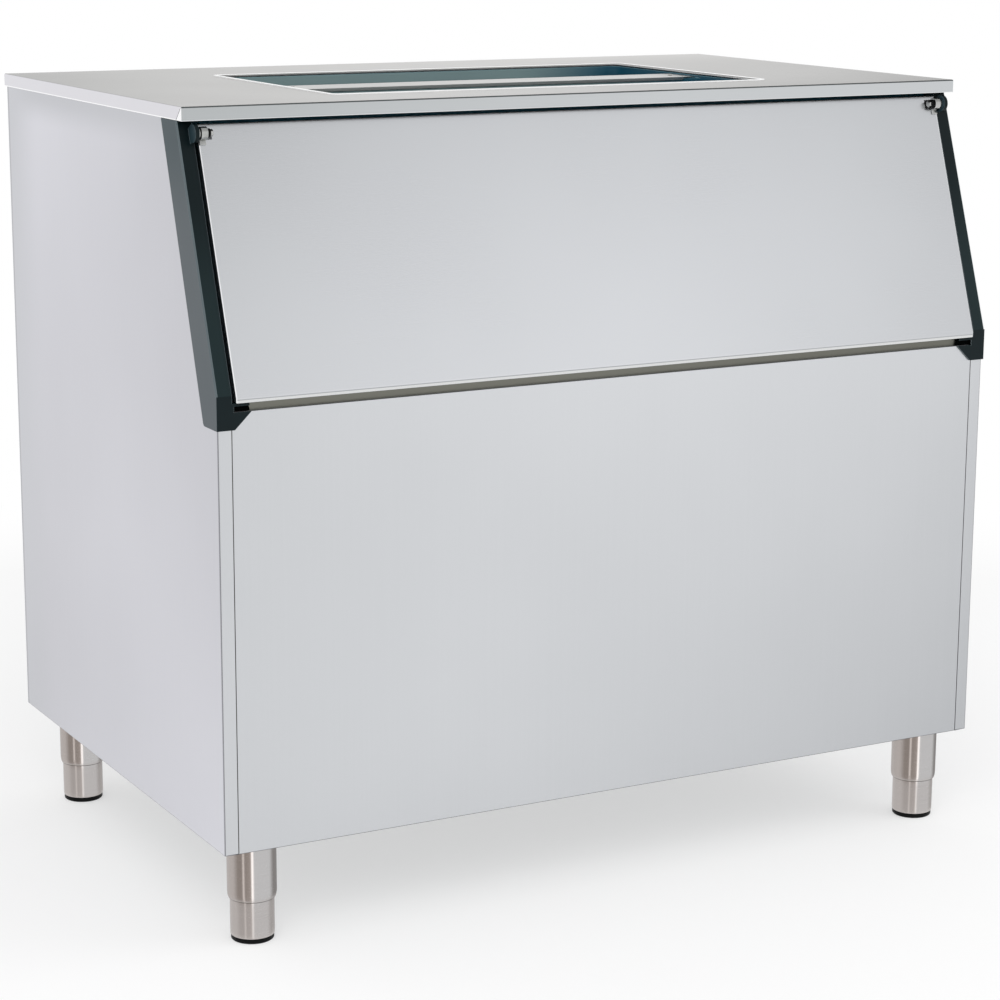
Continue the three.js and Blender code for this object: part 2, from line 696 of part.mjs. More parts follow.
// Door trim: channel along the slope, side flange over the panel, foot block with its hook,
// and the lug that holds the hinge pin
function doorTrim() {
  const returnDepth = faceFrameDepth - seatGap;
  const topZ = lipBottom - trimTopGap;
  const footZ = slopeStart - footDrop;
  const panelFace = halfWidth + seatGap;
  const foot = [-trimProud, slopeStart - 2 * trimWall];
  const bend = [-trimProud, slopeStart];
  const faceTop = slopePointAtHeight(topZ, 0);
  const web = acrossX(outline([
    foot, bend, faceTop, slopePointAtHeight(topZ, trimWall), slopePointAtHeight(foot[1], trimWall),
  ]), trimInner, trimOuter);
  const sideFlange = acrossX(roundedOutline([
    [-trimProud, footZ], bend, faceTop, [faceTop[0] + trimFlangeTopWidth, topZ],
    [-trimProud + trimFlangeFootWidth, footZ],
  ], [0, 0, 0, 0, trimFlangeCornerRadius]), panelFace, trimOuter);
  const innerReturn = acrossX(outline([
    [-trimProud, shelfTop], bend, faceTop, slopePointAtHeight(topZ, returnDepth),
    slopePointAtHeight(shelfTop, returnDepth),
  ]), trimInner, trimInner + trimWall);
  const chamfer = upTheSlope(outline([
    [cutOverrun, trimOuter - trimCornerChamfer - cutOverrun],
    [cutOverrun, trimOuter + cutOverrun], [-trimCornerChamfer - cutOverrun, trimOuter + cutOverrun],
  ]), 0, slopeAtHeight(topZ, 0) + cutOverrun);
  const hookEnd = trimInner - hookReach;
  const hookFoot = hookEnd + hookBottomInset;
  const recessBottom = shelfTop - hookShelf - hookRecessHeight;
  const footBlock = alongDepth(outline([
    [trimOuter, footZ], [trimOuter, slopeStart], [trimInner, slopeStart], [trimInner, shelfTop],
    [hookEnd + hookEndDraft, shelfTop], [hookEnd, recessBottom], [hookFoot, footZ],
  ]), -trimProud, sillRecess - seatGap);
  const overFrontPanel = block(
    hookEnd - cutOverrun, trimOuter + cutOverrun, -seatGap, sillRecess + cutOverrun,
    footZ - cutOverrun, frontPanelTop + seatGap);
  const overCornerFlange = block(
    trimInner - seatGap, trimOuter + cutOverrun, -seatGap, sillRecess + cutOverrun,
    frontPanelTop, slopeStart + cutOverrun);
  const recess = block(
    hookEnd - cutOverrun, trimInner - hookRecessSide, -trimProud - cutOverrun,
    -trimProud + hookRecessDepth, recessBottom, recessBottom + hookRecessHeight);
  const lugEnd = trimInner + lugLength;
  const lug = turnedOnHinge(rodProfile(lugRadius, trimInner, lugEnd));
  const lugRoot = throughSlope(
    rectangle(trimInner, hingeS - lugShoulder, lugEnd, hingeS + lugShoulder, 0), hingeD, trimWall / 2);
  const bore = turnedOnHinge(
    rodProfile(pinRadius + pinRunningGap, trimInner - cutOverrun, lugEnd - lugSkin));
  const seatedFoot = footBlock.subtract(overFrontPanel).subtract(overCornerFlange);
  return joined([web, sideFlange, innerReturn, seatedFoot, lug, lugRoot])
    .subtract(chamfer).subtract(recess).subtract(bore);
}

// Hinge pin: hexagon head towards the middle, shank through the bush and into the lug
function hingePin() {
  const headStart = hingeBushEnd() - bushCollarLength - seatGap - pinHeadLength;
  const headEnd = headStart + pinHeadLength;
  const headRadius = pinHeadFlats / Math.sqrt(3);
  const shank = turnedOnHinge(
    rodProfile(pinRadius, headStart + pinHeadChamfer, trimInner + lugLength - lugSkin - seatGap));
  const head = turnedOnHinge(rodProfile(headRadius, headStart, headEnd), hexSides);
  const chamfer = turnedOnHinge([
    [0, headStart], [headRadius - pinHeadChamfer, headStart],
    [headRadius + pinHeadChamfer, headStart + 2 * pinHeadChamfer], [headRadius + pinHeadChamfer, headEnd],
    [0, headEnd],
  ]);
  return shank.add(head.intersect(chamfer));
}

// The strap ring's end towards the middle of the door
function hingeBushEnd() {
  return doorHalfWidth - strapEdgeGap - strapWidth;
}

// Bush that turns on the pin inside the strap's ring
function hingeBush() {
  return turnedOnHinge(tubeProfile(
    pinRadius + pinRunningGap, bushRadius,
    hingeBushEnd() - bushCollarLength, doorHalfWidth - strapEdgeGap));
}

// Washer between the strap and the lug
function hingeWasher() {
  return turnedOnHinge(tubeProfile(
    pinRadius + pinRunningGap, washerRadius, trimInner - seatGap - washerLength, trimInner - seatGap));
}

// Strap: a ring round the bush with a short tail that lies on the face of the door
function hingeStrap() {
  const inner = bushRadius + pinRunningGap;
  const outer = inner + strapWall;
  const from = hingeBushEnd();
  const ring = turnedOnHinge(rodProfile(outer, from, from + strapWidth));
  const hole = turnedOnHinge(rodProfile(inner, from - cutOverrun, from + strapWidth + cutOverrun));
  const tailInnerD = -doorProud - seatGap;
  const tail = throughSlope(
    rectangle(from, hingeS - strapTailEnd, from + strapWidth, hingeS - inner, 0),
    tailInnerD - strapTailWall, tailInnerD);
  return ring.add(tail).subtract(hole);
}

// Outside of the door pan, shrunk on every side by an inset
function doorBlock(inset, backD) {
  const faceD = -doorProud + inset;
  const bottom = doorBottom + inset;
  const bandTop = slopePointAtHeight(doorBottom + doorEdgeBand, -doorProud);
  const innerBand = slopePointAtHeight(bandTop[1] + inset, faceD);
  const faceY = bandTop[0] + inset;
  const half = doorHalfWidth - inset;
  const topS = doorTopS - inset;
  return acrossX(outline([
    [faceY, bottom], [faceY, innerBand[1] - (innerBand[0] - faceY) / Math.tan(tilt)],
    slopePoint(topS, faceD), slopePoint(topS, backD), slopePointAtHeight(bottom, backD),
  ]), -half, half);
}

// Rounded pocket that the hinge ring turns into, at both top corners of the door
function hingePockets(grow) {
  const pocket = turnedOnHinge(rodProfile(
    recessRadius + grow, hingeBushEnd() - bushCollarLength - pinHeadLength - recessGap - grow,
    doorHalfWidth + cutOverrun));
  return pocket.add(mirrored(pocket));
}

// Door skin: a shallow pan whose face ends in a narrow upright band at the bottom
function doorSkin() {
  const outside = doorBlock(0, doorBackDepth).subtract(hingePockets(0));
  const inside = doorBlock(sheet, doorBackDepth + cutOverrun).subtract(hingePockets(sheet));
  return outside.subtract(inside);
}

const doorPlateD = doorBackDepth + seatGap;
const doorPlateBottomS = slopeAtHeight(doorBottom, doorPlateD + doorInnerWall) + seatGap;
const plugFaceD = doorPlateD + doorInnerWall + doorPlugDepth;

function plugBlock(grow, fromD, toD) {
  const halfX = accessHalfWidth - plugClearance - grow;
  return throughSlope(rectangle(
    -halfX, accessBottom + plugClearance + grow, halfX, accessTop - plugClearance - grow, plugRadius - grow),
  fromD, toD);
}

// Inner panel of the door: a plate over the pan with a hollow plug that fills the access opening
function doorInnerPanel() {
  const half = doorHalfWidth - sheet;
  const plate = throughSlope(
    rectangle(-half, doorPlateBottomS, half, doorTopS - sheet, 0), doorPlateD, doorPlateD + doorInnerWall);
  const plug = plugBlock(0, doorPlateD + doorInnerWall / 2, plugFaceD);
  const hollow = plugBlock(doorInnerWall, doorPlateD - cutOverrun, plugFaceD - doorInnerWall);
  return plate.add(plug).subtract(hollow);
}

// Foam core of the door
function doorFoam() {
  const clear = sheet + seatGap;
  const core = doorBlock(clear, doorBackDepth).subtract(hingePockets(clear));
  const plug = plugBlock(doorInnerWall + seatGap, 0, plugFaceD - doorInnerWall - seatGap);
  return core.add(plug);
}

// Gasket on the inner panel, with a groove along its sealing face
function doorGasket() {
  const outerX = doorHalfWidth - gasketInset;
  const bottomS = doorPlateBottomS + gasketInset;
  const topS = doorTopS - gasketTopInset;
  const innerX = outerX - gasketWidth;
  const fromD = doorPlateD + doorInnerWall + seatGap;
  const toD = faceFrameDepth - seatGap;
  const ring = throughSlope(frameShape(
    rectangle(-outerX, bottomS, outerX, topS, gasketWidth),
    rectangle(-innerX, bottomS + gasketWidth, innerX, topS - gasketWidth, gasketWidth / 2)), fromD, toD);
  const side = (gasketWidth - gasketGrooveWidth) / 2;
  const groove = throughSlope(frameShape(
    rectangle(-outerX + side, bottomS + side, outerX - side, topS - side, gasketWidth - side),
    rectangle(
      -innerX - side, bottomS + gasketWidth - side, innerX + side, topS - gasketWidth + side,
      gasketWidth / 2 + side)),
  toD - gasketGrooveDepth, toD + cutOverrun);
  return ring.subtract(groove);
}

// Leg: square plate under the base with a tube whose lower end is rolled in
function leg(x, y) {
  const plateTop = bodyBottom + sheet;
  const plateUnder = plateTop - legPlateThickness;
  const half = legPlateSize / 2;
  const plate = upwards(
    rectangle(x - half, y - half, x + half, y + half, legPlateRadius), plateUnder, plateTop);
  const rollTop = bodyBottom - legStraight;
  const mouth = footRadius + footRunningGap;
  const roll = Array.from({ length: arcSegments }, (unused, i) => {
    const turn = ((i + 1) / arcSegments) * (Math.PI / 2);
    const outward = legRadius - mouth - legWall / 2;
    return [legRadius - outward * (1 - Math.cos(turn)), rollTop - legRollHeight * Math.sin(turn)];
  });
  const bore = legRadius - legWall;
  const tube = turned([
    [bore, plateTop - sheet], [bore, rollTop], [mouth, rollTop - legRollHeight],
    ...roll.reverse(), [legRadius, rollTop], [legRadius, plateTop - sheet], [bore, plateTop - sheet],
  ], x, y);
  return plate.add(tube);
}

// Foot: a cup that screws in and out of the leg
function footTube(x, y) {
  const underside = padThickness + seatGap;
  const top = bodyBottom - legStraight + footInside;
  const bore = footRadius - footWall;
  return turned([
    [0, underside], [footRadius, underside], [footRadius, top], [bore, top],
    [bore, underside + footFloor], [0, underside + footFloor],
  ], x, y);
}

// Pad under the foot
function footPad(x, y) {
  return turned([
    [0, 0], [padRadius - padEdge, 0], [padRadius, padEdge], [padRadius, padThickness], [0, padThickness],
  ], x, y);
}

// Drain: flange on the cavity floor with a spigot down through the base
function drainSpigot() {
  const seat = cavityFloor + seatGap;
  const end = bodyBottom - drainBelowCabinet;
  const outer = drainBoreRadius + drainWall;
  return turned([
    [drainBoreRadius, end], [outer, end], [outer, seat], [drainFlangeRadius, seat],
    [drainFlangeRadius, seat + drainFlangeThickness], [drainBoreRadius, seat + drainFlangeThickness],
    [drainBoreRadius, end],
  ], 0, drainY);
}

// Hexagon nut that clamps the drain under its plate
function drainNut() {
  const top = drainPlateSeat - seatGap;
  const hexagon = turned(rodProfile(drainNutRadius, top - drainNutThickness, top), 0, drainY, hexSides);
  return hexagon.subtract(drainCut(drainBoreRadius + drainWall + seatGap));
}

// Strainer: a slotted disc over the drain
function drainStrainer() {
  const under = cavityFloor + 2 * seatGap + drainFlangeThickness;
  const disc = turned(rodProfile(strainerRadius, under, under + strainerThickness), 0, drainY);
  const slots = Array.from({ length: strainerSlots }, (unused, i) => {
    const x = (i - (strainerSlots - 1) / 2) * strainerSlotPitch;
    return block(
      x - strainerSlotWidth / 2, x + strainerSlotWidth / 2,
      drainY - strainerSlotLength / 2, drainY + strainerSlotLength / 2,
      under - cutOverrun, under + strainerThickness + cutOverrun);
  });
  return slots.reduce((plate, slot) => plate.subtract(slot), disc);
}

// Screw of the back panel, its head on the panel
function backScrew(side, row) {
  const x = side * (halfWidth - sheet - backScrewInset);
  const span = cabinetHeight - 2 * backScrewEndInset - topLipDepth;
  const z = bodyBottom + backScrewEndInset + (row * span) / (backScrewRows - 1);
  const profile = [
    [0, 0], [backScrewRadius, 0], [backScrewRadius, backScrewHead / 2],
    [backScrewRadius / 2, backScrewHead], [0, backScrewHead],
  ].map(([r, h]) => new THREE.Vector2(r, h));
  const head = new THREE.LatheGeometry(profile, roundSides / 2);
  return toSolid(head.translate(x, cabinetDepth + seatGap, z));
}

// The object as a scene graph
const bin = new THREE.Group();
bin.position.set(0, -middleY, 0);

function addPiece(name, solid, finish) {
  const mesh = new THREE.Mesh(toGeometry(solid), new THREE.MeshStandardMaterial(finishes[finish]));
  mesh.name = name;
  bin.add(mesh);
}

function addPair(name, solid, finish) {
  addPiece(`right_${name}`, solid, finish);
  addPiece(`left_${name}`, mirrored(solid), finish);
}

addPair('side_panel', sidePanel(), 'paleSteel');
addPiece('front_panel', frontPanel(), 'paleSteel');
addPiece('back_panel', backPanel(), 'galvanised');
addPiece('base_panel', basePanel(), 'galvanised');
addPiece('drain_plate', drainPlate(), 'galvanised');
addPiece('top_panel', topPanel(), 'topSteel');
addPiece('opening_edge_strip', openingEdgeStrip(), 'whitePlastic');
addPiece('centre_rail', centreRail(), 'brushedSteel');
addPair('rail_screw', railScrew(1), 'brushedSteel');
addPiece('throat_liner', throatLiner(), 'tealPlastic');
addPiece('liner_tub', linerTub(), 'tealPlastic');
addPiece('insulation_foam', insulationFoam(), 'foam');
addPiece('door_sill', doorSill(), 'sillSteel');
addPair('door_trim', doorTrim(), 'darkPlastic');
addPair('hinge_pin', hingePin(), 'brushedSteel');
addPair('hinge_washer', hingeWasher(), 'brushedSteel');
addPiece('drain_spigot', drainSpigot(), 'whitePlastic');
addPiece('drain_nut', drainNut(), 'whitePlastic');
addPiece('drain_strainer', drainStrainer(), 'brushedSteel');
for (let row = 0; row < backScrewRows; row += 1) {
  addPair(`back_screw_${row + 1}`, backScrew(1, row), 'brushedSteel');
}

addPiece('door_skin', doorSkin(), 'brushedSteel');
addPiece('door_foam', doorFoam(), 'foam');
addPiece('door_inner_panel', doorInnerPanel(), 'tealPlastic');
addPiece('door_gasket', doorGasket(), 'gasketRubber');
addPair('hinge_strap', hingeStrap(), 'brushedSteel');
addPair('hinge_bush', hingeBush(), 'blackPlastic');

const legPlaces = { front: legFrontInset, rear: cabinetDepth - legRearInset };
for (const [row, y] of Object.entries(legPlaces)) {
  const x = halfWidth - legInset;
  addPair(`${row}_leg`, leg(x, y), 'brushedSteel');
  addPair(`${row}_foot`, footTube(x, y), 'brushedSteel');
  addPair(`${row}_foot_pad`, footPad(x, y), 'blackPlastic');
}

export default bin;
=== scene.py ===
import json
import logging
import math
from collections.abc import Callable, Sequence
from dataclasses import dataclass, replace
from enum import Enum
from functools import cache

import bmesh
import bpy
import numpy as np
from mathutils import Matrix, Vector

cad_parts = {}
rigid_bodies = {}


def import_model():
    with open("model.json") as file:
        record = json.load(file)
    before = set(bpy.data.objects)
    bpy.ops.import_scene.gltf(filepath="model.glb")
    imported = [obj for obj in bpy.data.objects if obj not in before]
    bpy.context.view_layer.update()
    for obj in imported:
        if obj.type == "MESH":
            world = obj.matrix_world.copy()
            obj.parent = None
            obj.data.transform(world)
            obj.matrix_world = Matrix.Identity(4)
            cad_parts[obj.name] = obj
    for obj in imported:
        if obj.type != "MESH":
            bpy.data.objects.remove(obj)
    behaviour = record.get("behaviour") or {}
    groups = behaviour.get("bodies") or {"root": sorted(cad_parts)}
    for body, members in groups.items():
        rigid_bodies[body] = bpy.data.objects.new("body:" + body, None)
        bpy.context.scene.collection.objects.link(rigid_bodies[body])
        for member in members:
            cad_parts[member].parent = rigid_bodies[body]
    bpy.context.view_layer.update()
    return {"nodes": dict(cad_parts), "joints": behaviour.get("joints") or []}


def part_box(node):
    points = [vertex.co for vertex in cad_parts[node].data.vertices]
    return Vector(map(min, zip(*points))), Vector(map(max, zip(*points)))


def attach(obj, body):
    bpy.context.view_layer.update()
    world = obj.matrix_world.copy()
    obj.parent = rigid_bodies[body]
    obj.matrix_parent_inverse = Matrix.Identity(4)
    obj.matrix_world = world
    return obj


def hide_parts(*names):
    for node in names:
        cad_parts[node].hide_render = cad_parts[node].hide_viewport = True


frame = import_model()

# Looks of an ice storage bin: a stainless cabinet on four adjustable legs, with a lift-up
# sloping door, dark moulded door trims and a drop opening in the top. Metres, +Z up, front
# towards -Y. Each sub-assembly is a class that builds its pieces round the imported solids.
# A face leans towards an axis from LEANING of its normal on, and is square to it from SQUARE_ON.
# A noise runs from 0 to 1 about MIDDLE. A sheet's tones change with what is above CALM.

log = logging.getLogger("ice_bin")

WELD = 0.00001
FLAT_TURN = math.radians(0.4)
ROUND_TURN = math.radians(24)
CREASE_TURN = math.radians(42)
BROAD_FACE = 0.0015
FOLD_STEPS = 4
EDGE_STEPS = 2
INNER_STEPS = 3
ROUND_PROFILE = 0.5
ROUNDING_SHARE = 0.45
LEANING = 0.3
SQUARE_ON = 0.9
TINY = 1e-20
EDGE_MARK = "edge"
MIDDLE = 0.5
CALM = 0.35
WHITE_LIGHT = (1.0, 1.0, 1.0, 1.0)

Shape = bmesh.types.BMesh
Face = bmesh.types.BMFace
Edge = bmesh.types.BMEdge
Point = tuple[float, float]
Triple = tuple[float, float, float]
Colour = tuple[float, float, float, float]


class Side(Enum):
    """Which side of the middle plane a piece is on, as the sign of its X."""

    RIGHT = 1
    LEFT = -1

    @property
    def word(self) -> str:
        """Start of the names of this side's nodes."""
        return self.name.lower()


LEG_ENDS = [f"{side.word}_{row}" for side in Side for row in ("front", "rear")]


class Body(Enum):
    """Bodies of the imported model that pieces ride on."""

    CABINET = "cabinet"
    DOOR = "door"
    RIGHT_FRONT_FOOT = "right_front_foot_body"
    LEFT_FRONT_FOOT = "left_front_foot_body"
    RIGHT_REAR_FOOT = "right_rear_foot_body"
    LEFT_REAR_FOOT = "left_rear_foot_body"


class Grain(Enum):
    """Direction that a sheet is brushed in, as waves per metre along X, Y and Z."""

    ACROSS = (0.2, 60.0, 60.0)
    UPRIGHT = (60.0, 60.0, 0.2)
    ROUND = (4.0, 4.0, 60.0)
    EVEN = (12.0, 12.0, 12.0)

    def waves(self, count: float) -> Vector:
        """Scale of a noise that has this many times the basic waves."""
        return Vector(self.value) * count


def linear(code: str) -> Colour:
    """Colour for a shader socket.

    Args:
        code: six hexadecimal digits, as a screen shows the colour.

    Returns:
        Linear red, green and blue by the sRGB curve, with a full alpha.
    """
    channels = [int(code[i:i + 2], 16) / 255 for i in (0, 2, 4)]
    flat = [c / 12.92 if c <= 0.04045 else ((c + 0.055) / 1.055) ** 2.4 for c in channels]
    return (flat[0], flat[1], flat[2], 1.0)


class Wire:
    """Output socket of a node tree that takes part in sums."""

    def __init__(self, tree: "Tree", socket: bpy.types.NodeSocket) -> None:
        """Keeps the socket and the tree that its sums are added to."""
        self.tree = tree
        self.socket = socket

    def __add__(self, other: "Wire | float") -> "Wire":
        """Sum."""
        return self.tree.math("ADD", self, other)

    def __radd__(self, other: float) -> "Wire":
        """Sum with a number on the left."""
        return self.tree.math("ADD", other, self)

    def __sub__(self, other: "Wire | float") -> "Wire":
        """Difference."""
        return self.tree.math("SUBTRACT", self, other)

    def __rsub__(self, other: float) -> "Wire":
        """Difference from a number on the left."""
        return self.tree.math("SUBTRACT", other, self)

    def __mul__(self, other: "Wire | float") -> "Wire":
        """Product."""
        return self.tree.math("MULTIPLY", self, other)

    def __rmul__(self, other: float) -> "Wire":
        """Product with a number on the left."""
        return self.tree.math("MULTIPLY", other, self)


class Tree:
    """Node tree that is written as Python."""

    def __init__(self, tree: bpy.types.NodeTree) -> None:
        """Starts on an empty tree."""
        self.tree = tree
        self.tree.nodes.clear()

    def node(self, kind: str, settings: dict | None = None,
             inputs: dict | None = None) -> bpy.types.Node:
        """Adds a node.

        Args:
            kind: the node's type.
            settings: its properties, set first. stops is a list of (place, colour) of a ramp.
            inputs: socket name or number to a value or a Wire.

        Returns:
            The new node.
        """
        made = self.tree.nodes.new(kind)
        for name, value in (settings or {}).items():
            if name == "stops":
                self.set_stops(made.color_ramp, value)
            else:
                setattr(made, name, value)
        for key, value in (inputs or {}).items():
            if isinstance(value, Wire):
                self.tree.links.new(value.socket, made.inputs[key])
            else:
                made.inputs[key].default_value = value
        return made

    @staticmethod
    def set_stops(ramp: bpy.types.ColorRamp, stops: Sequence[tuple[float, Colour]]) -> None:
        """Gives a ramp its stops.

        Args:
            ramp: the ramp, which has two stops to start with.
            stops: place and colour of each, two or more.
        """
        while len(ramp.elements) < len(stops):
            ramp.elements.new(MIDDLE)
        for element, (place, colour) in zip(ramp.elements, stops):
            element.position = place
            element.color = colour

    def wire(self, kind: str, settings: dict | None = None, inputs: dict | None = None,
             output: int | str = 0) -> Wire:
        """Adds a node, as node says, and returns its first output or the one that is named."""
        return Wire(self, self.node(kind, settings, inputs).outputs[output])

    def math(self, operation: str, *values: "Wire | float") -> Wire:
        """Adds a Math node on numbers or wires."""
        return self.wire("ShaderNodeMath", {"operation": operation}, dict(enumerate(values)))

    def vectors(self, operation: str, *values: "Wire | Triple", output: str = "Vector") -> Wire:
        """Adds a Vector Math node on triples or wires."""
        return self.wire(
            "ShaderNodeVectorMath", {"operation": operation}, dict(enumerate(values)), output)

    def span(self, value: Wire, low: float, high: float, start: float, end: float) -> Wire:
        """Runs smoothly from start to end while the value goes from low to high."""
        return self.wire(
            "ShaderNodeMapRange", {"interpolation_type": "SMOOTHSTEP"},
            {"Value": value, "From Min": low, "From Max": high, "To Min": start, "To Max": end})


class Board(Tree):
    """Node tree of one material, with the pattern sources that the finishes share."""

    OCTAVE_STRENGTH = 0.55

    def __init__(self, name: str) -> None:
        """Makes the material with an empty tree.

        Args:
            name: the material's name.
        """
        self.material = bpy.data.materials.new(name)
        self.material.use_nodes = True
        super().__init__(self.material.node_tree)

    def place(self) -> Wire:
        """Place on the object, in metres."""
        return self.wire("ShaderNodeTexCoord", output="Object")

    def axis(self, name: str) -> Wire:
        """One of the place's X, Y and Z."""
        return self.wire("ShaderNodeSeparateXYZ", {}, {"Vector": self.place()}, name)

    def along(self, vector: Wire, direction: Triple) -> Wire:
        """How far a vector reaches along a direction, times that direction's length."""
        return self.vectors("DOT_PRODUCT", vector, direction, output="Value")

    def noise(self, waves: Vector | Sequence[float], detail: float = 2.0, shift: float = 0.0) -> Wire:
        """Noise from 0 to 1.

        Args:
            waves: waves per metre along X, Y and Z.
            detail: octaves of finer noise on it.
            shift: how far the pattern is moved, so that two noises differ.

        Returns:
            The noise's value.
        """
        scaled = self.wire(
            "ShaderNodeMapping", {"vector_type": "POINT"},
            {"Vector": self.place(), "Location": (shift, shift, shift), "Scale": tuple(waves)})
        return self.wire(
            "ShaderNodeTexNoise", {"noise_dimensions": "3D"},
            {"Vector": scaled, "Scale": 1.0, "Detail": detail,
             "Roughness": self.OCTAVE_STRENGTH})

    def cells(self, scale: float, output: str) -> Wire:
        """Random cells, this many in a metre, by their Distance or their Color."""
        return self.wire(
            "ShaderNodeTexVoronoi", {"feature": "F1", "voronoi_dimensions": "3D"},
            {"Vector": self.place(), "Scale": scale, "Randomness": 1.0}, output)

    def edge(self) -> Wire:
        """1 on rounded edges and 0 elsewhere."""
        return self.wire("ShaderNodeAttribute", {"attribute_name": EDGE_MARK}, output="Fac")

    def mix(self, share: Wire, first: "Wire | Colour | str", second: "Wire | Colour | str") -> Wire:
        """Colour that goes from one to another. The node's colours are its sockets 6, 7 and 2.

        Args:
            share: 0 for the first and 1 for the second.
            first: a colour, or six hexadecimal digits for one.
            second: the same.

        Returns:
            The mixed colour.
        """
        ends = [linear(end) if isinstance(end, str) else end for end in (first, second)]
        return self.wire(
            "ShaderNodeMix", {"data_type": "RGBA", "clamp_factor": True},
            {0: share, 6: ends[0], 7: ends[1]}, 2)

    def bumped(self, height: Wire) -> Wire:
        """Normal of a surface raised by a height in metres."""
        return self.wire("ShaderNodeBump", {}, {"Height": height, "Strength": 1.0, "Distance": 1.0})

    def surface(self, **sockets: "Wire | Colour | float") -> bpy.types.Material:
        """Ends the tree in a Principled shader, whose sockets are named with _ for a space."""
        inputs = {name.replace("_", " "): value for name, value in sockets.items()}
        return self.end(self.wire("ShaderNodeBsdfPrincipled", {}, inputs))

    def end(self, shader: Wire) -> bpy.types.Material:
        """Ends the tree in a shader."""
        self.node("ShaderNodeOutputMaterial", {}, {"Surface": shader})
        return self.material


@dataclass(frozen=True)
class Band:
    """Stretch about an edge of a sheet in another tone: painted shade and highlight along folds,
    hems and seams, and painted shadow under a lip.

    It reaches from before the edge to after it along the axis. Before is less than 0 where the
    stretch starts past the edge.
    """

    edge: float
    before: float
    after: float
    tone: str
    soft: float = 0.0003
    axis: str = "Z"

    def share(self, board: Board) -> Wire:
        """How much of the tone shows.

        Args:
            board: the finish's tree.

        Returns:
            1 inside the stretch and 0 outside it.
        """
        place = board.axis(self.axis)
        low, high = self.edge - self.before, self.edge + self.after
        above = board.span(place, low - self.soft, low, 0.0, 1.0)
        return above * board.span(place, high, high + self.soft, 1.0, 0.0)


@dataclass(frozen=True)
class Steel:
    """Brushed or satin stainless sheet.

    Its long waves are those of thin sheet over foam. Its rounded edges and folds take edge_tone,
    a painted highlight where it is pale and a painted shade line where it is dark. Painted shade
    and painted reflection darken it with its place by base and drift, by the squares of its place,
    and by the products YZ, ZX and XY of its place.
    """

    slot: str
    tone: str
    shade: str
    grain: Grain = Grain.ACROSS
    roughness: float = 0.3
    brushing: float = 0.06
    streaks: float = 0.12
    clouds: float = 0.3
    drift: Triple = (0.0, 0.0, 0.0)
    base: float = 0.0
    belly: Triple = (0.0, 0.0, 0.0)
    twist: Triple = (0.0, 0.0, 0.0)
    fine_waves: float = 40.0
    streak_waves: float = 5.0
    cloud_waves: float = 2.2
    long_waves: Triple = (1.6, 1.6, 1.9)
    grain_depth: float = 0.0000006
    streak_depth: float = 0.000001
    wave_depth: float = 0.00012
    edge_tone: str = "F4F5F6"
    edge_gain: float = 0.5
    edge_polish: float = 0.06
    rough_swing: float = 0.08
    stretch: float = 0.0
    stretch_turn: float = 0.25
    bands: tuple[Band, ...] = ()

    def make(self) -> bpy.types.Material:
        """Builds the material.

        Returns:
            The material.
        """
        board = Board(self.slot)
        fine = board.noise(self.grain.waves(self.fine_waves), detail=2)
        streaks = board.noise(self.grain.waves(self.streak_waves), detail=3, shift=3.1)
        clouds = board.noise((self.cloud_waves,) * 3, detail=2, shift=7.7)
        waves = board.noise(self.long_waves, detail=0, shift=1.3)
        edge = board.edge()
        place = board.place()
        squares = board.vectors("MULTIPLY", place, place)
        x, y, z = (board.axis(name) for name in "XYZ")
        # Painted shade and painted reflection that change smoothly across the sheet.
        tilt, lean, turn = self.twist
        painted_shade = (board.along(place, self.drift) + board.along(squares, self.belly)
                + y * z * tilt + z * x * lean + x * y * turn)
        dark = ((streaks - CALM) * self.streaks + (clouds - CALM) * self.clouds
                + (fine - MIDDLE) * self.brushing + painted_shade + self.base)
        colour = board.mix(dark, self.tone, self.shade)
        # Bands paint shade lines, highlights and shadow under lips along edges.
        for band in self.bands:
            colour = board.mix(band.share(board), colour, band.tone)
        # Rounded edges take edge_tone: painted highlight where pale, painted shade line where dark.
        colour = board.mix(edge * self.edge_gain, colour, self.edge_tone)
        rough = (self.roughness + (fine - MIDDLE) * self.rough_swing
                 + (clouds - MIDDLE) * self.rough_swing - edge * self.edge_polish)
        height = fine * self.grain_depth + streaks * self.streak_depth + waves * self.wave_depth
        return board.surface(
            Base_Color=colour, Metallic=1.0, Roughness=rough, Normal=board.bumped(height),
            Anisotropic=self.stretch, Anisotropic_Rotation=self.stretch_turn)


@dataclass(frozen=True)
class Galvanised:
    """Zinc-coated sheet with its spangle."""

    slot: str
    tone: str
    shade: str
    crystals: float = 70.0
    cloud_waves: float = 3.0
    frost_waves: float = 400.0
    crystal_share: float = 0.6
    crystal_depth: float = 0.000006
    frost_depth: float = 0.000003
    roughness: float = 0.42
    rough_swing: float = 0.1

    def make(self) -> bpy.types.Material:
        """Builds the material.

        Returns:
            The material.
        """
        board = Board(self.slot)
        spangle = board.cells(self.crystals, "Color")
        crystal = board.wire("ShaderNodeSeparateColor", {}, {"Color": spangle})
        clouds = board.noise((self.cloud_waves,) * 3, detail=3)
        frost = board.noise((self.frost_waves,) * 3, detail=1)
        dark = crystal * self.crystal_share + clouds * (1 - self.crystal_share)
        colour = board.mix(dark, self.tone, self.shade)
        rough = (self.roughness + (crystal - MIDDLE) * self.rough_swing
                 + (clouds - MIDDLE) * self.rough_swing)
        height = crystal * self.crystal_depth + frost * self.frost_depth
        return board.surface(
            Base_Color=colour, Metallic=1.0, Roughness=rough, Normal=board.bumped(height))


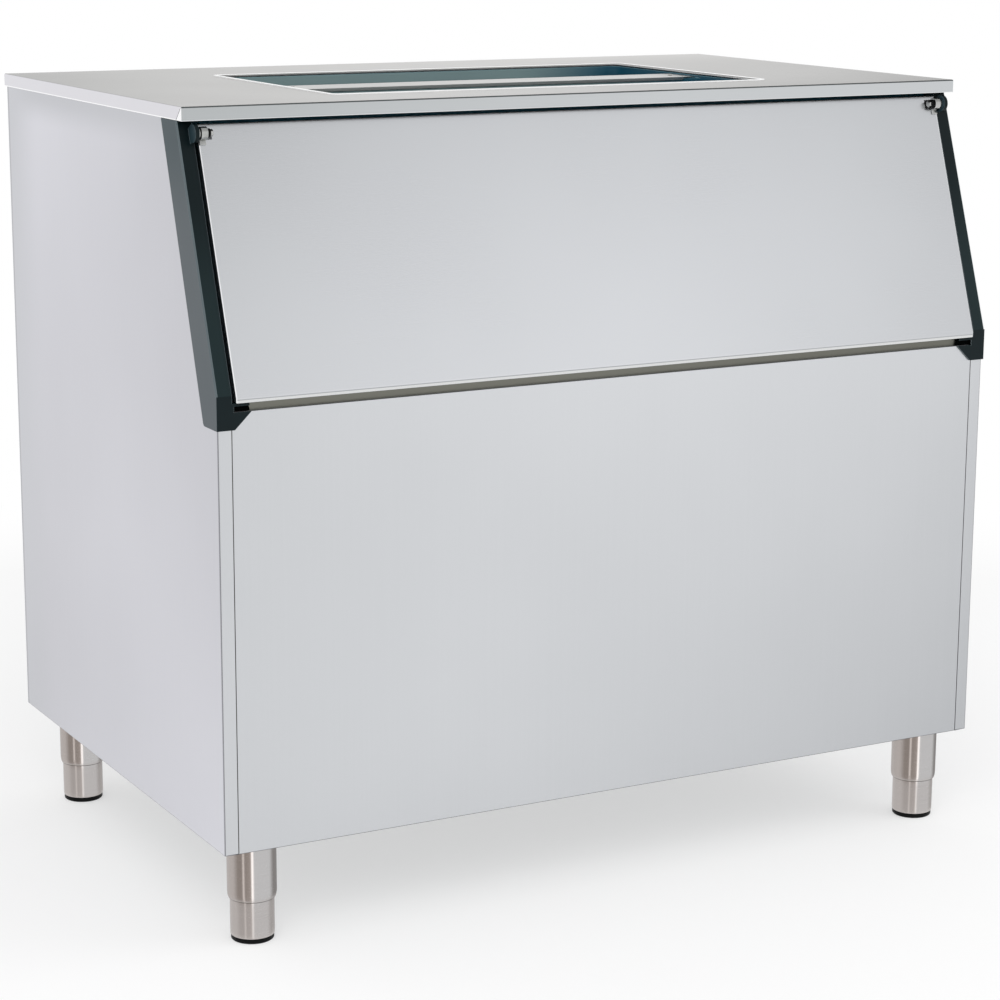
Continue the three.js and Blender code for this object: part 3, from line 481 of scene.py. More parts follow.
@dataclass(frozen=True)
class Moulding:
    """Moulded plastic with a fine spark-eroded texture, a little paler where edges are handled.

    It may run into a second tone, far, along an axis, which the finishes use as painted shade.
    """

    slot: str
    tone: str
    shade: str
    worn: str
    roughness: float = 0.4
    far: str = ""
    far_axis: str = "X"
    far_start: float = 0.14
    far_end: float = 0.36
    texture_depth: float = 0.000012
    texture_waves: float = 900.0
    cloud_waves: float = 7.0
    flow_waves: float = 14.0
    flow_depth: float = 0.00004
    gloss: float = 0.5
    speckle: float = 0.1
    wear: float = 0.25
    wear_swing: float = 0.4
    rough_swing: float = 0.12
    fine_rough: float = 0.08

    def make(self) -> bpy.types.Material:
        """Builds the material.

        Returns:
            The material.
        """
        board = Board(self.slot)
        texture = board.noise((self.texture_waves,) * 3, detail=2)
        clouds = board.noise((self.cloud_waves,) * 3, detail=3, shift=4.2)
        flow = board.noise((self.flow_waves,) * 3, detail=1, shift=2.2)
        edge = board.edge()
        plain = board.mix(clouds, self.tone, self.shade)
        if self.far:
            reach = board.span(board.axis(self.far_axis), self.far_start, self.far_end, 0.0, 1.0)
            plain = board.mix(reach, plain, self.far)
        rubbed = board.mix(texture * self.speckle, plain, self.worn)
        worn = edge * (self.wear + clouds * self.wear_swing)
        colour = board.mix(worn, rubbed, self.worn)
        rough = (self.roughness + (clouds - MIDDLE) * self.rough_swing
                 + (texture - MIDDLE) * self.fine_rough - edge * self.fine_rough)
        height = texture * self.texture_depth + flow * self.flow_depth
        return board.surface(
            Base_Color=colour, Metallic=0.0, Roughness=rough, Normal=board.bumped(height),
            Specular_IOR_Level=self.gloss)


@dataclass(frozen=True)
class Foam:
    """Rigid polyurethane foam with its cells."""

    slot: str
    tone: str
    shade: str
    cells: float = 700.0
    skin_waves: float = 18.0
    skin_share: float = 0.7
    cell_depth: float = 0.0003
    skin_depth: float = 0.0006
    roughness: float = 0.9
    rough_swing: float = 0.08

    def make(self) -> bpy.types.Material:
        """Builds the material.

        Returns:
            The material.
        """
        board = Board(self.slot)
        cells = board.cells(self.cells, "Distance")
        skin = board.noise((self.skin_waves,) * 3, detail=3)
        dark = skin * self.skin_share + cells * (1 - self.skin_share)
        colour = board.mix(dark, self.tone, self.shade)
        height = cells * self.cell_depth + skin * self.skin_depth
        return board.surface(
            Base_Color=colour, Metallic=0.0, Roughness=self.roughness + skin * self.rough_swing,
            Normal=board.bumped(height))


TOP_LOW, TOP_HIGH = (corner.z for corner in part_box("top_panel"))
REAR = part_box("left_side_panel")[1].y
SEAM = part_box("front_panel")[1].x
DOOR_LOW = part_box("door_skin")[0].z
LEG_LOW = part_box("left_front_leg")[0].z

# In these steel finishes, base, drift and the squares and products of place paint shade and
# reflection that change across each sheet. SIDE and FRONT are lit and shaded copies of one panel
# steel: painted light and shade. SIDE's bands paint the shadow under the top's lip, shade towards the
# rear edge and a shade line on the rear fold, and its dark edge tone paints its fold lines.
SIDE = Steel(
    "panel_steel", "E3E3EA", "BABABF", Grain.UPRIGHT, roughness=0.34, brushing=0.03,
    streaks=0.04, clouds=0.2, drift=(0.0, 0.835, 0.898), base=0.222,
    belly=(0.0, 0.265, -0.673), twist=(-1.352, 0.0, 0.0), edge_tone="85868B", edge_gain=0.75,
    bands=(Band(TOP_LOW, 0.002, 0.016, "C4C5CA", 0.05),
           Band(REAR, 0.0065, 0.0235, "C9CACF", 0.135, "Y"),
           Band(REAR, 0.0045, 0.0235, "B2B3B8", 0.003, "Y")))
# FRONT's bands along both seams paint shade in the gaps, and its dark edge tone paints shade lines
# along its folds.
FRONT = Steel(
    "panel_steel", "DBDDE0", "B8BABD", Grain.UPRIGHT, roughness=0.34, brushing=0.04,
    streaks=0.05, clouds=0.25, drift=(0.545, 0.0, -0.42), base=0.478,
    belly=(0.537, 0.0, -0.113), twist=(0.0, -0.745, 0.0), edge_tone="5A5B5F", edge_gain=0.95,
    bands=(Band(SEAM, 0.0004, 0.0006, "6A6B6F", axis="X"),
           Band(-SEAM, 0.0006, 0.0004, "6A6B6F", axis="X")))
# DOOR's bands paint a highlight on the lower band and a shade line at its bend. DOOR_EDGE is a
# near-white copy for the side returns: painted highlight.
DOOR = Steel(
    "door_steel", "E3E5E9", "C3C5C8", roughness=0.27, brushing=0.012, streaks=0.02,
    clouds=0.3, drift=(0.603, 0.0, -3.316), base=1.579, belly=(1.042, 0.0, 2.095),
    twist=(0.0, -0.537, 0.0), grain_depth=0.00000005, streak_depth=0.00000008, edge_gain=0.1,
    rough_swing=0.02,
    bands=(Band(DOOR_LOW, 0.001, 0.004, "DCDDDD"), Band(DOOR_LOW, -0.0042, 0.0054, "B4B6B8")))
DOOR_EDGE = Steel("door_steel", "FDFDFE", "F2F3F4", Grain.UPRIGHT, roughness=0.25)
TOP = Steel(
    "top_steel", "C8C7C5", "80807E", brushing=0.02, streaks=0.04, clouds=0.1,
    drift=(0.03, -0.39, 0.0), base=0.25, belly=(0.92, -0.19, 0.0), twist=(0.0, 0.0, -1.64),
    edge_tone="D8D8D8", edge_gain=0.3)
# TOP_FRONT and TOP_SIDE are shaded and lit copies of the top steel for its lips, with a painted
# highlight along each hem and a painted shade line along each top fold. TOP_CORNER paints a highlight
# at the lip's corner, and TOP_SEAM paints shade at the mitre's slit.
TOP_FRONT = Steel(
    "top_steel", "C9CCCE", "9FA4A4", brushing=0.05, streaks=0.1, drift=(-0.55, 0.0, 0.0),
    bands=(Band(TOP_LOW, 0.0005, 0.0007, "E6E8EA"), Band(TOP_HIGH, 0.0018, 0.002, "5E6263")))
TOP_SIDE = Steel(
    "top_steel", "DEDDE2", "CAC9CE", brushing=0.05, streaks=0.1,
    bands=(Band(TOP_LOW, 0.0005, 0.0014, "FDFDFE"), Band(TOP_HIGH, 0.0005, 0.002, "A0A0A3")))
TOP_CORNER = Steel("top_steel", "FBFBFC", "F0F0F2", roughness=0.25)
TOP_SEAM = Steel("top_steel", "3A3C3D", "2C2E2F", Grain.EVEN, roughness=0.6, edge_gain=0.0)
# Painted shade: the sill's steel takes the dark tone it has in the shade under the door, darker to
# the right.
SILL = Steel(
    "sill_steel", "7B7B73", "5C5B56", roughness=0.42, streaks=0.3, clouds=0.4,
    drift=(0.25, 0.0, 0.0), edge_gain=0.1)
HARDWARE = Steel(
    "hardware_steel", "CFCFCC", "A9A8A5", Grain.EVEN, roughness=0.22, brushing=0.1,
    streaks=0.2, wave_depth=0.0)
RAIL = Steel(
    "hardware_steel", "C2C2C0", "AEAEAC", brushing=0.05, streaks=0.1, wave_depth=0.0)
# HINGE's strong streaks paint dark and bright reflection patches on the hinge steel.
HINGE = Steel(
    "hardware_steel", "C3C4C2", "4E5050", Grain.EVEN, roughness=0.2, brushing=0.2,
    streaks=1.1, wave_depth=0.0)
LEG = Steel(
    "leg_steel", "CDC7C4", "AFA7A4", Grain.ROUND, roughness=0.26, brushing=0.12,
    streaks=0.25, clouds=0.8, wave_depth=0.0, stretch=0.8)
# LEG_TUBE's dark band is painted shade in the gap at the leg's mouth.
LEG_TUBE = replace(LEG, bands=(Band(LEG_LOW, 0.0001, 0.0009, "4A443E"),))
ZINC = Galvanised("galvanised", "B9BCBD", "A4A8AA")
# Copies of the trim plastic: DARK's far tone paints shade under the top's lip; FOOT is a darker copy
# for the foot block, painted shade; FLANK is a paler copy for the sides, painted sheen, and its far
# tone paints shade under the lip; CORNER paints a highlight on the chamfer; RECESS paints near-black
# shade in the hook's recess.
DARK = Moulding(
    "dark_plastic", "112022", "152426", "2A393C", far="020F12", far_axis="Z",
    far_start=0.86, far_end=1.03, gloss=0.16)
FOOT = Moulding("dark_plastic", "041012", "07161A", "2A393C", gloss=0.16)
FLANK = Moulding(
    "dark_plastic", "3A444A", "404A50", "565F65", roughness=0.42, far="22363D",
    far_axis="Z", far_start=0.98, far_end=1.1, gloss=0.4)
CORNER = Moulding("dark_plastic", "434E52", "4C575B", "6D797E", roughness=0.34)
RECESS = Moulding("dark_plastic", "020303", "050606", "0A0C0C", roughness=0.8, gloss=0.02)
BLACK = Moulding("black_plastic", "030404", "070808", "1C1E1F", roughness=0.45, gloss=0.12)
TEAL = Moulding("teal_plastic", "0A5468", "0F4A5B", "3C7F90", roughness=0.34)
# THROAT is a paler grey copy of the teal plastic, painted as lit, and its far tone paints deep teal
# shade towards the right.
THROAT = Moulding(
    "teal_plastic", "7B9192", "738789", "5F8790", roughness=0.34, far="00455B", gloss=0.35)
WHITE = Moulding("white_plastic", "FDFDFD", "F6F7F7", "FFFFFF")
RUBBER = Moulding(
    "gasket_rubber", "4B5254", "555C5F", "6E7577", roughness=0.72, texture_depth=0.00002,
    texture_waves=500)
FOAM = Foam("foam", "6E6547", "5A523A")

Finish = Steel | Galvanised | Moulding | Foam
Part = tuple[Finish, Callable[[Face], bool]]


@cache
def material_of(finish: Finish) -> bpy.types.Material:
    """Material of a finish, built once."""
    return finish.make()


def shade_corners(mesh: bpy.types.Mesh) -> None:
    """Gives each corner the mean normal of the faces that turn little there.

    Faces count by their area, so broad flat faces stay flat beside their rounded edges.

    Args:
        mesh: the mesh to shade.
    """
    count = len(mesh.polygons)
    corners = len(mesh.loops)
    normals = np.empty(count * 3)
    areas = np.empty(count)
    sizes = np.empty(count, int)
    vertices = np.empty(corners, int)
    mesh.polygons.foreach_get("normal", normals)
    mesh.polygons.foreach_get("area", areas)
    mesh.polygons.foreach_get("loop_total", sizes)
    mesh.loops.foreach_get("vertex_index", vertices)
    faces = np.repeat(np.arange(count), sizes)
    normals = normals.reshape(-1, 3)
    order = np.argsort(vertices, kind="stable")
    groups, first, members = np.unique(vertices[order], return_index=True, return_counts=True)
    group = np.searchsorted(groups, vertices[order])
    fellows = members[group]
    left = np.repeat(np.arange(corners), fellows)
    step = np.arange(len(left)) - np.repeat(np.cumsum(fellows) - fellows, fellows)
    right = first[group][left] + step
    own, other = faces[order][left], faces[order][right]
    near = (normals[own] * normals[other]).sum(1) > math.cos(CREASE_TURN)
    weights = areas[other] * near
    total = np.empty((corners, 3))
    for axis in range(3):
        total[:, axis] = np.bincount(left, weights * normals[other, axis], corners)
    total /= np.maximum(np.linalg.norm(total, axis=1, keepdims=True), TINY)
    result = np.empty((corners, 3))
    result[order] = total
    mesh.polygons.foreach_set("use_smooth", np.ones(count, bool))
    mesh.normals_split_custom_set(result.tolist())


def node_shape(node: str) -> Shape:
    """Copy of a CAD node's mesh, merged, with its flat faces whole.

    Args:
        node: the CAD node.

    Returns:
        The new mesh.
    """
    shape = bmesh.new()
    shape.from_mesh(frame["nodes"][node].data)
    bmesh.ops.remove_doubles(shape, verts=shape.verts[:], dist=WELD)
    bmesh.ops.dissolve_limit(
        shape, angle_limit=FLAT_TURN, verts=shape.verts[:], edges=shape.edges[:])
    return shape


def round_edges(shape: Shape, edges: Sequence[Edge], radius: float, steps: int) -> None:
    """Rounds edges and marks the new faces for the finish.

    Args:
        shape: the mesh to change.
        edges: the edges to round.
        radius: how far the rounding reaches from each edge.
        steps: faces across it.
    """
    if not edges:
        return
    mark = shape.faces.layers.float[EDGE_MARK]
    made = bmesh.ops.bevel(
        shape, geom=list(edges), offset=radius, offset_type="OFFSET", segments=steps,
        profile=ROUND_PROFILE, affect="EDGES", clamp_overlap=False)
    for face in made["faces"]:
        face[mark] = 1.0


def softened(node: str, edge: float, fold: float = 0.0, inner: float = 0.0) -> Shape:
    """Copy of a CAD node with its edges rounded.

    Args:
        node: the CAD node.
        edge: radius of its outer edges.
        fold: radius of outer edges between two broad faces, if they differ.
        inner: radius of its inner corners, none if 0.

    Returns:
        The mesh, with its rounded faces marked.
    """
    shape = node_shape(node)
    shape.faces.layers.float.new(EDGE_MARK)

    def turning(wanted: Callable[[Edge], bool]) -> list[Edge]:
        """Edges with enough turn that are wanted."""
        return [e for e in shape.edges
                if e.is_manifold and e.calc_face_angle(0.0) > ROUND_TURN and wanted(e)]

    if fold > 0:
        round_edges(shape, turning(
            lambda e: e.is_convex and min(f.calc_area() for f in e.link_faces) > BROAD_FACE),
            fold, FOLD_STEPS)
    if edge > 0:
        round_edges(shape, turning(lambda e: e.is_convex), edge, EDGE_STEPS)
    if inner > 0:
        round_edges(shape, turning(lambda e: not e.is_convex), inner, INNER_STEPS)
    return shape


def eased(points: Sequence[Point], radius: float, closed: bool = True,
          steps: int = 3) -> list[Point]:
    """Outline with its corners rounded.

    Args:
        points: the outline's corners.
        radius: how far each rounding reaches, less on short stretches.
        closed: whether the last point joins the first. The ends of an open outline stay.
        steps: stretches in each rounding.

    Returns:
        The outline's new points.
    """
    corners = [Vector(p) for p in points]
    result: list[Point] = []
    for i, corner in enumerate(corners):
        if not closed and i in (0, len(corners) - 1):
            result.append(tuple(corner))
            continue
        before = corners[i - 1] - corner
        after = corners[(i + 1) % len(corners)] - corner
        start = corner + before.normalized() * min(radius, before.length * ROUNDING_SHARE)
        end = corner + after.normalized() * min(radius, after.length * ROUNDING_SHARE)
        for k in range(steps + 1):
            t = k / steps
            result.append(tuple(start * (1 - t) ** 2 + corner * 2 * t * (1 - t) + end * t ** 2))
    return result


def sealed(shape: Shape) -> Shape:
    """Turns a mesh's faces outwards, and adds the layer that marks edges if it has none.

    Args:
        shape: the mesh.

    Returns:
        The same mesh.
    """
    if not shape.faces.layers.float.get(EDGE_MARK):
        shape.faces.layers.float.new(EDGE_MARK)
    bmesh.ops.recalc_face_normals(shape, faces=shape.faces[:])
    return shape


def laid(shape: Shape, matrix: Matrix) -> Shape:
    """The same mesh, moved and turned by a matrix."""
    bmesh.ops.transform(shape, verts=shape.verts[:], matrix=matrix)
    return shape


def turned(profile: Sequence[Point], sides: int, closed: bool = False) -> Shape:
    """Solid of revolution about Z.

    Args:
        profile: points of (radius, height). An open one starts and ends on the axis.
        sides: faces round it.
        closed: whether the profile is a ring.

    Returns:
        The closed mesh, facing outwards.
    """
    shape = bmesh.new()
    rings = []
    for radius, height in profile:
        if radius < WELD:
            rings.append([shape.verts.new((0, 0, height))])
            continue
        angles = [2 * math.pi * i / sides for i in range(sides)]
        rings.append([
            shape.verts.new((radius * math.cos(a), radius * math.sin(a), height)) for a in angles])
    following = rings[1:] + rings[:1] if closed else rings[1:]
    for low, high in zip(rings, following):
        for i in range(sides):
            j = (i + 1) % sides
            corners = [
                low[i % len(low)], low[j % len(low)], high[j % len(high)], high[i % len(high)]]
            shape.faces.new(list(dict.fromkeys(corners)))
    return sealed(shape)


def square(side: float) -> list[Point]:
    """Corners of a square about the origin."""
    half = side / 2
    return [(-half, -half), (half, -half), (half, half), (-half, half)]


def prism(outline: Sequence[Point], low: float, high: float) -> Shape:
    """Upright solid.

    Args:
        outline: its outline in X and Y.
        low: height of its lower face.
        high: height of its upper face.

    Returns:
        The closed mesh, facing outwards.
    """
    shape = bmesh.new()
    rings = [[shape.verts.new((x, y, z)) for x, y in outline] for z in (low, high)]
    shape.faces.new(rings[0][::-1])
    shape.faces.new(rings[1])
    count = len(outline)
    for i in range(count):
        j = (i + 1) % count
        shape.faces.new([rings[0][i], rings[0][j], rings[1][j], rings[1][i]])
    return sealed(shape)


def mesh_of(name: str, shape: Shape) -> bpy.types.Mesh:
    """Mesh made from a shape.

    Args:
        name: the mesh's name.
        shape: what it is made from. It is freed.

    Returns:
        The mesh.
    """
    mesh = bpy.data.meshes.new(name)
    shape.to_mesh(mesh)
    shape.free()
    return mesh


def joined(first: Shape, second: Shape) -> Shape:
    """Two shapes as one mesh.

    Args:
        first: the mesh that takes up the other.
        second: the other mesh. It is freed.

    Returns:
        The first mesh.
    """
    spare = mesh_of("spare", second)
    first.from_mesh(spare)
    bpy.data.meshes.remove(spare)
    return first


def middle_of(node: str) -> Vector:
    """Middle of a CAD node's box."""
    low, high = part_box(node)
    return (low + high) / 2


def linked(name: str, data: bpy.types.ID) -> bpy.types.Object:
    """New object of the scene.

    Args:
        name: its name.
        data: its mesh, curve, camera or light.

    Returns:
        The object, at the origin.
    """
    made = bpy.data.objects.new(name, data)
    bpy.context.scene.collection.objects.link(made)
    return made


class NodeTree(Tree):
    """Geometry Nodes tree that ends in Realize Instances and Set Material."""

    def __init__(self, name: str, sizes: Sequence[tuple[str, str]]) -> None:
        """Makes the tree with its named inputs.

        Args:
            name: the tree's name.
            sizes: each input's name and socket type.
        """
        group = bpy.data.node_groups.new(name, "GeometryNodeTree")
        group.is_modifier = True
        super().__init__(group)
        self.keys = {
            label: group.interface.new_socket(label, in_out="INPUT", socket_type=kind).identifier
            for label, kind in sizes}
        self.keys["Material"] = group.interface.new_socket(
            "Material", in_out="INPUT", socket_type="NodeSocketMaterial").identifier
        group.interface.new_socket("Geometry", in_out="OUTPUT", socket_type="NodeSocketGeometry")
        self.source = self.node("NodeGroupInput")

    def given(self, name: str) -> Wire:
        """One of the named inputs."""
        return Wire(self, self.source.outputs[name])

    def geometry(self, name: str) -> Wire:
        """Geometry of the object that an input takes."""
        return self.wire(
            "GeometryNodeObjectInfo", {"transform_space": "ORIGINAL"},
            {"Object": self.given(name)}, "Geometry")

    def end(self, geometry: Wire) -> None:
        """Realizes the result and gives it its material.

        Args:
            geometry: the result.
        """
        real = self.wire("GeometryNodeRealizeInstances", {}, {"Geometry": geometry})
        dressed = self.wire(
            "GeometryNodeSetMaterial", {}, {"Geometry": real, "Material": self.given("Material")})
        self.node("NodeGroupOutput", {}, {"Geometry": dressed})

    def bake(self, values: dict, key: str, data: bpy.types.ID, finish: Finish) -> Shape:
        """Runs the tree.

        Args:
            values: input name to value.
            key: the input that takes an object.
            data: the mesh or curve of that object. It is removed.
            finish: what the result is dressed with.

        Returns:
            The result, merged and facing outwards.
        """
        loose = linked("loose", data)
        blank = bpy.data.meshes.new("carrier")
        carrier = linked("carrier", blank)
        modifier = carrier.modifiers.new("nodes", "NODES")
        modifier.node_group = self.tree
        for name, value in {**values, key: loose, "Material": material_of(finish)}.items():
            modifier[self.keys[name]] = value
        graph = bpy.context.evaluated_depsgraph_get()
        mesh = bpy.data.meshes.new_from_object(carrier.evaluated_get(graph))
        carrier.modifiers.remove(modifier)
        shape = bmesh.new()
        shape.from_mesh(mesh)
        bmesh.ops.remove_doubles(shape, verts=shape.verts[:], dist=WELD)
        bpy.data.batch_remove([carrier, loose, blank, mesh, data])
        return sealed(shape)


class FrameSweep(NodeTree):
    """Section swept round a rectangle with rounded corners, as strips and gaskets run."""

    CORNER_STEPS = 8

    def __init__(self) -> None:
        """Builds the tree."""
        super().__init__("frame_sweep", [
            ("Width", "NodeSocketFloat"), ("Depth", "NodeSocketFloat"),
            ("Corner", "NodeSocketFloat"), ("Section", "NodeSocketObject")])
        path = self.wire(
            "GeometryNodeCurvePrimitiveQuadrilateral", {"mode": "RECTANGLE"},
            {0: self.given("Width"), 1: self.given("Depth")})
        rounded = self.wire(
            "GeometryNodeFilletCurve", {"mode": "POLY"},
            {"Curve": path, "Count": self.CORNER_STEPS, "Radius": self.given("Corner"),
             "Limit Radius": True})
        level = self.wire("GeometryNodeSetCurveNormal", {"mode": "Z_UP"}, {"Curve": rounded})
        self.end(self.wire(
            "GeometryNodeCurveToMesh", {},
            {"Curve": level, "Profile Curve": self.geometry("Section")}))

    def run(self, width: float, depth: float, corner: float, section: Sequence[Point],
            finish: Finish) -> Shape:
        """Sweeps a section.

        Args:
            width: width of the path along X.
            depth: depth of the path along Y.
            corner: radius of the path's corners.
            section: closed outline, with its X towards the middle of the frame and its Y up.
            finish: the finish of the result.

        Returns:
            The mesh, centred on the origin.
        """
        curve = bpy.data.curves.new("section", "CURVE")
        curve.dimensions = "3D"
        spline = curve.splines.new("POLY")
        spline.points.add(len(section) - 1)
        for point, (x, y) in zip(spline.points, section):
            point.co = (x, y, 0, 1)
        spline.use_cyclic_u = True
        values = {"Width": width, "Depth": depth, "Corner": corner}
        return self.bake(values, "Section", curve, finish)


class GridOfCopies(NodeTree):
    """Copies of one shape on a level grid, as screws and legs stand."""

    def __init__(self) -> None:
        """Builds the tree."""
        super().__init__("grid_of_copies", [
            ("Width", "NodeSocketFloat"), ("Depth", "NodeSocketFloat"),
            ("Columns", "NodeSocketInt"), ("Rows", "NodeSocketInt"),
            ("Shape", "NodeSocketObject")])
        points = self.wire(
            "GeometryNodeMeshGrid", {},
            {"Size X": self.given("Width"), "Size Y": self.given("Depth"),
             "Vertices X": self.given("Columns"), "Vertices Y": self.given("Rows")})
        self.end(self.wire(
            "GeometryNodeInstanceOnPoints", {},
            {"Points": points, "Instance": self.geometry("Shape")}))

    def run(self, width: float, depth: float, columns: int, rows: int, shape: Shape,
            finish: Finish) -> Shape:
        """Sets out copies of a shape.

        Args:
            width: distance between the outer columns.
            depth: distance between the outer rows.
            columns: copies along X.
            rows: copies along Y.
            shape: what is copied. It is freed.
            finish: the finish of the result.

        Returns:
            The mesh, centred on the origin.
        """
        values = {"Width": width, "Depth": depth, "Columns": columns, "Rows": rows}
        return self.bake(values, "Shape", mesh_of("copy", shape), finish)


@dataclass
class Assembly:
    """Sub-assembly of the bin, with what every one of them needs."""

    def seat(self, name: str, shape: Shape, body: Body, finish: Finish,
             nodes: Sequence[str], parts: Sequence[Part] = ()) -> None:
        """Makes a finished piece that stands for CAD nodes.

        Args:
            name: the piece's name.
            shape: its mesh, in place. It is freed.
            body: what it rides on.
            finish: what it is dressed with.
            nodes: the CAD nodes it stands for.
            parts: finishes of some of its faces, each with the test that picks them.
        """
        shape.normal_update()
        for face in shape.faces:
            face.material_index = 0
            for number, (_, picks) in enumerate(parts, 1):
                if picks(face):
                    face.material_index = number
        mesh = mesh_of(name, shape)
        for dressing in (finish, *(extra for extra, _ in parts)):
            mesh.materials.append(material_of(dressing))
        shade_corners(mesh)
        piece = linked(name, mesh)
        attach(piece, body.value)
        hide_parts(*nodes)
        log.info("%s: %d faces on %s, %s", name, len(mesh.polygons), body.value, finish.slot)

    def sheet(self, name: str, node: str, finish: Finish, edge: float, fold: float = 0.0,
              inner: float = 0.0, body: Body = Body.CABINET, parts: Sequence[Part] = ()) -> None:
        """Seats a CAD node's own shape with rounded edges, as softened and seat say."""
        self.seat(name, softened(node, edge, fold, inner), body, finish, [node], parts)

    def dress(self, node: str, finish: Finish) -> None:
        """Gives a CAD node that stays its finish.

        Args:
            node: the CAD node.
            finish: what it is dressed with.
        """
        solid = frame["nodes"][node]
        for place in solid.material_slots:
            place.material = material_of(finish)
        log.info("%s: CAD solid, %s", node, finish.slot)


@dataclass
class Shell(Assembly):
    """Outer sheets of the cabinet, folded from 1 mm stainless steel."""

    bend: float = 0.0014
    cut_edge: float = 0.0002
    narrow_bend: float = 0.0009

    def build(self) -> None:
        """Builds the panels, the sill and the base."""
        for side in Side:
            node = f"{side.word}_side_panel"
            # The forward flange takes FRONT, so the side and front of one sheet show lit and shaded
            # copies: painted light and shade.
            self.sheet(f"{node}_sheet", node, SIDE, self.cut_edge, self.bend,
                       parts=[(FRONT, lambda face: face.normal.y < -SQUARE_ON)])
        self.sheet("front_sheet", "front_panel", FRONT, self.cut_edge, self.narrow_bend)
        self.sheet("back_sheet", "back_panel", ZINC, self.cut_edge, self.bend)
        for node in ("base_panel", "drain_plate"):
            self.sheet(f"{node}_sheet", node, ZINC, self.cut_edge)
        self.sheet("sill_strip", "door_sill", SILL, self.cut_edge, self.narrow_bend)


@dataclass
class BackScrews(Assembly):
    """Pan-head screws that hold the back panel, in two columns of three."""

    rows: int = 3
    head_radius: float = 0.0045
    head_height: float = 0.002
    shoulder: float = 0.0005
    crown_share: float = 0.82
    crown_height_share: float = 0.8
    flat_share: float = 0.5
    socket_radius: float = 0.0013
    socket_depth: float = 0.0009
    ease: float = 0.0002
    sides: int = 24

    def head(self) -> Shape:
        """One head, standing on its seat, with a round socket.

        Returns:
            The mesh.
        """
        radius = self.head_radius
        top = self.head_height
        floor = top - self.socket_depth
        profile = [
            (0, 0), (radius, 0), (radius, self.shoulder),
            (radius * self.crown_share, top * self.crown_height_share),
            (radius * self.flat_share, top), (self.socket_radius, top),
            (self.socket_radius, floor), (0, floor)]
        return turned(eased(profile, self.ease, closed=False), self.sides)

    def build(self, grid: GridOfCopies) -> None:
        """Sets the heads out on the back panel and stands them upright.

        Args:
            grid: the tree that sets out copies.
        """
        nodes = [f"{side.word}_back_screw_{row + 1}" for side in Side for row in range(self.rows)]
        low, high = middle_of("left_back_screw_1"), middle_of(f"right_back_screw_{self.rows}")
        seat_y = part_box("left_back_screw_1")[0].y
        shape = grid.run(
            high.x - low.x, high.z - low.z, 2, self.rows, self.head(), HARDWARE)
        seat = Matrix.Translation((0, seat_y, (low.z + high.z) / 2))
        laid(shape, seat @ Matrix.Rotation(-math.pi / 2, 4, "X"))
        self.seat("back_screw_heads", shape, Body.CABINET, HARDWARE, nodes)


@dataclass
class Top(Assembly):
    """Top panel with its drop opening, the strip on its edge and the rail across it."""

    cut_edge: float = 0.00025
    rail_bend: float = 0.001
    lip_wall: float = 0.0012
    mitre_gap: float = 0.00027
    mitre_reach: float = 0.0008
    strip_width: float = 0.008
    strip_wall: float = 0.0012
    strip_under: float = 0.006
    strip_corner: float = 0.006
    strip_round: float = 0.0005
    screw_radius: float = 0.004
    screw_top: float = 0.0028
    screw_ease_share: float = 0.3
    screw_sides: int = 32

    def past_mitre(self, face: Face) -> float:
        """How far a face of a side lip lies behind the mitre's slit.

        Args:
            face: a face of the top panel.

        Returns:
            The length along Y and Z together, or 1 for a face that is on no side lip.
        """
        low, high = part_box("top_panel")
        middle = face.calc_center_median()
        if abs(middle.x) < high.x - self.lip_wall:
            return 1.0
        return middle.y + middle.z - (low.y + high.z + self.mitre_gap)

    def strip_section(self, height: float) -> list[Point]:
        """U section that grips the sheet's edge, open outwards, with its X towards the middle.

        Args:
            height: its outer height.

        Returns:
            The closed outline about the middle of its height.
        """
        half = height / 2
        inner = self.strip_width
        web = inner - self.strip_wall
        under = inner - self.strip_under
        corners = [
            (0, half), (inner, half), (inner, -half), (under, -half),
            (under, -half + self.strip_wall), (web, -half + self.strip_wall),
            (web, half - self.strip_wall), (0, half - self.strip_wall)]
        return eased(corners, self.strip_round)

    def build(self, sweep: FrameSweep, grid: GridOfCopies) -> None:
        """Builds the top's pieces.

        Args:
            sweep: the tree that sweeps sections.
            grid: the tree that sets out copies.
        """
        # The lips take lit and shaded copies with painted hem highlights and fold shade, the corner
        # past the mitre a painted highlight, and the slit painted shade.
        self.sheet("top_sheet", "top_panel", TOP, self.cut_edge, parts=[
            (TOP_FRONT, lambda face: face.normal.y < -LEANING and face.normal.z < SQUARE_ON),
            (TOP_SIDE, lambda face: abs(face.normal.x) > LEANING and face.normal.z < SQUARE_ON),
            (TOP_CORNER, lambda face: self.past_mitre(face) < 0),
            (TOP_SEAM, lambda face: abs(self.past_mitre(face)) < self.mitre_reach)])
        low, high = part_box("opening_edge_strip")
        strip = sweep.run(
            high.x - low.x, high.y - low.y, self.strip_corner, self.strip_section(high.z - low.z),
            WHITE)
        laid(strip, Matrix.Translation((low + high) / 2))
        self.seat("edge_strip", strip, Body.CABINET, WHITE, ["opening_edge_strip"])
        self.sheet("rail", "centre_rail", RAIL, self.cut_edge, self.rail_bend)
        nodes = [f"{side.word}_rail_screw" for side in reversed(Side)]
        left, right = (middle_of(node) for node in nodes)
        low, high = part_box(nodes[0])
        height = high.z - low.z
        profile = eased(
            [(0, 0), (self.screw_radius, 0), (self.screw_top, height), (0, height)],
            height * self.screw_ease_share, closed=False)
        middle = (left + right) / 2
        screws = grid.run(
            right.x - left.x, 0.0, 2, 1, turned(profile, self.screw_sides), HARDWARE)
        laid(screws, Matrix.Translation((middle.x, middle.y, low.z)))
        self.seat("rail_screw_heads", screws, Body.CABINET, HARDWARE, nodes)


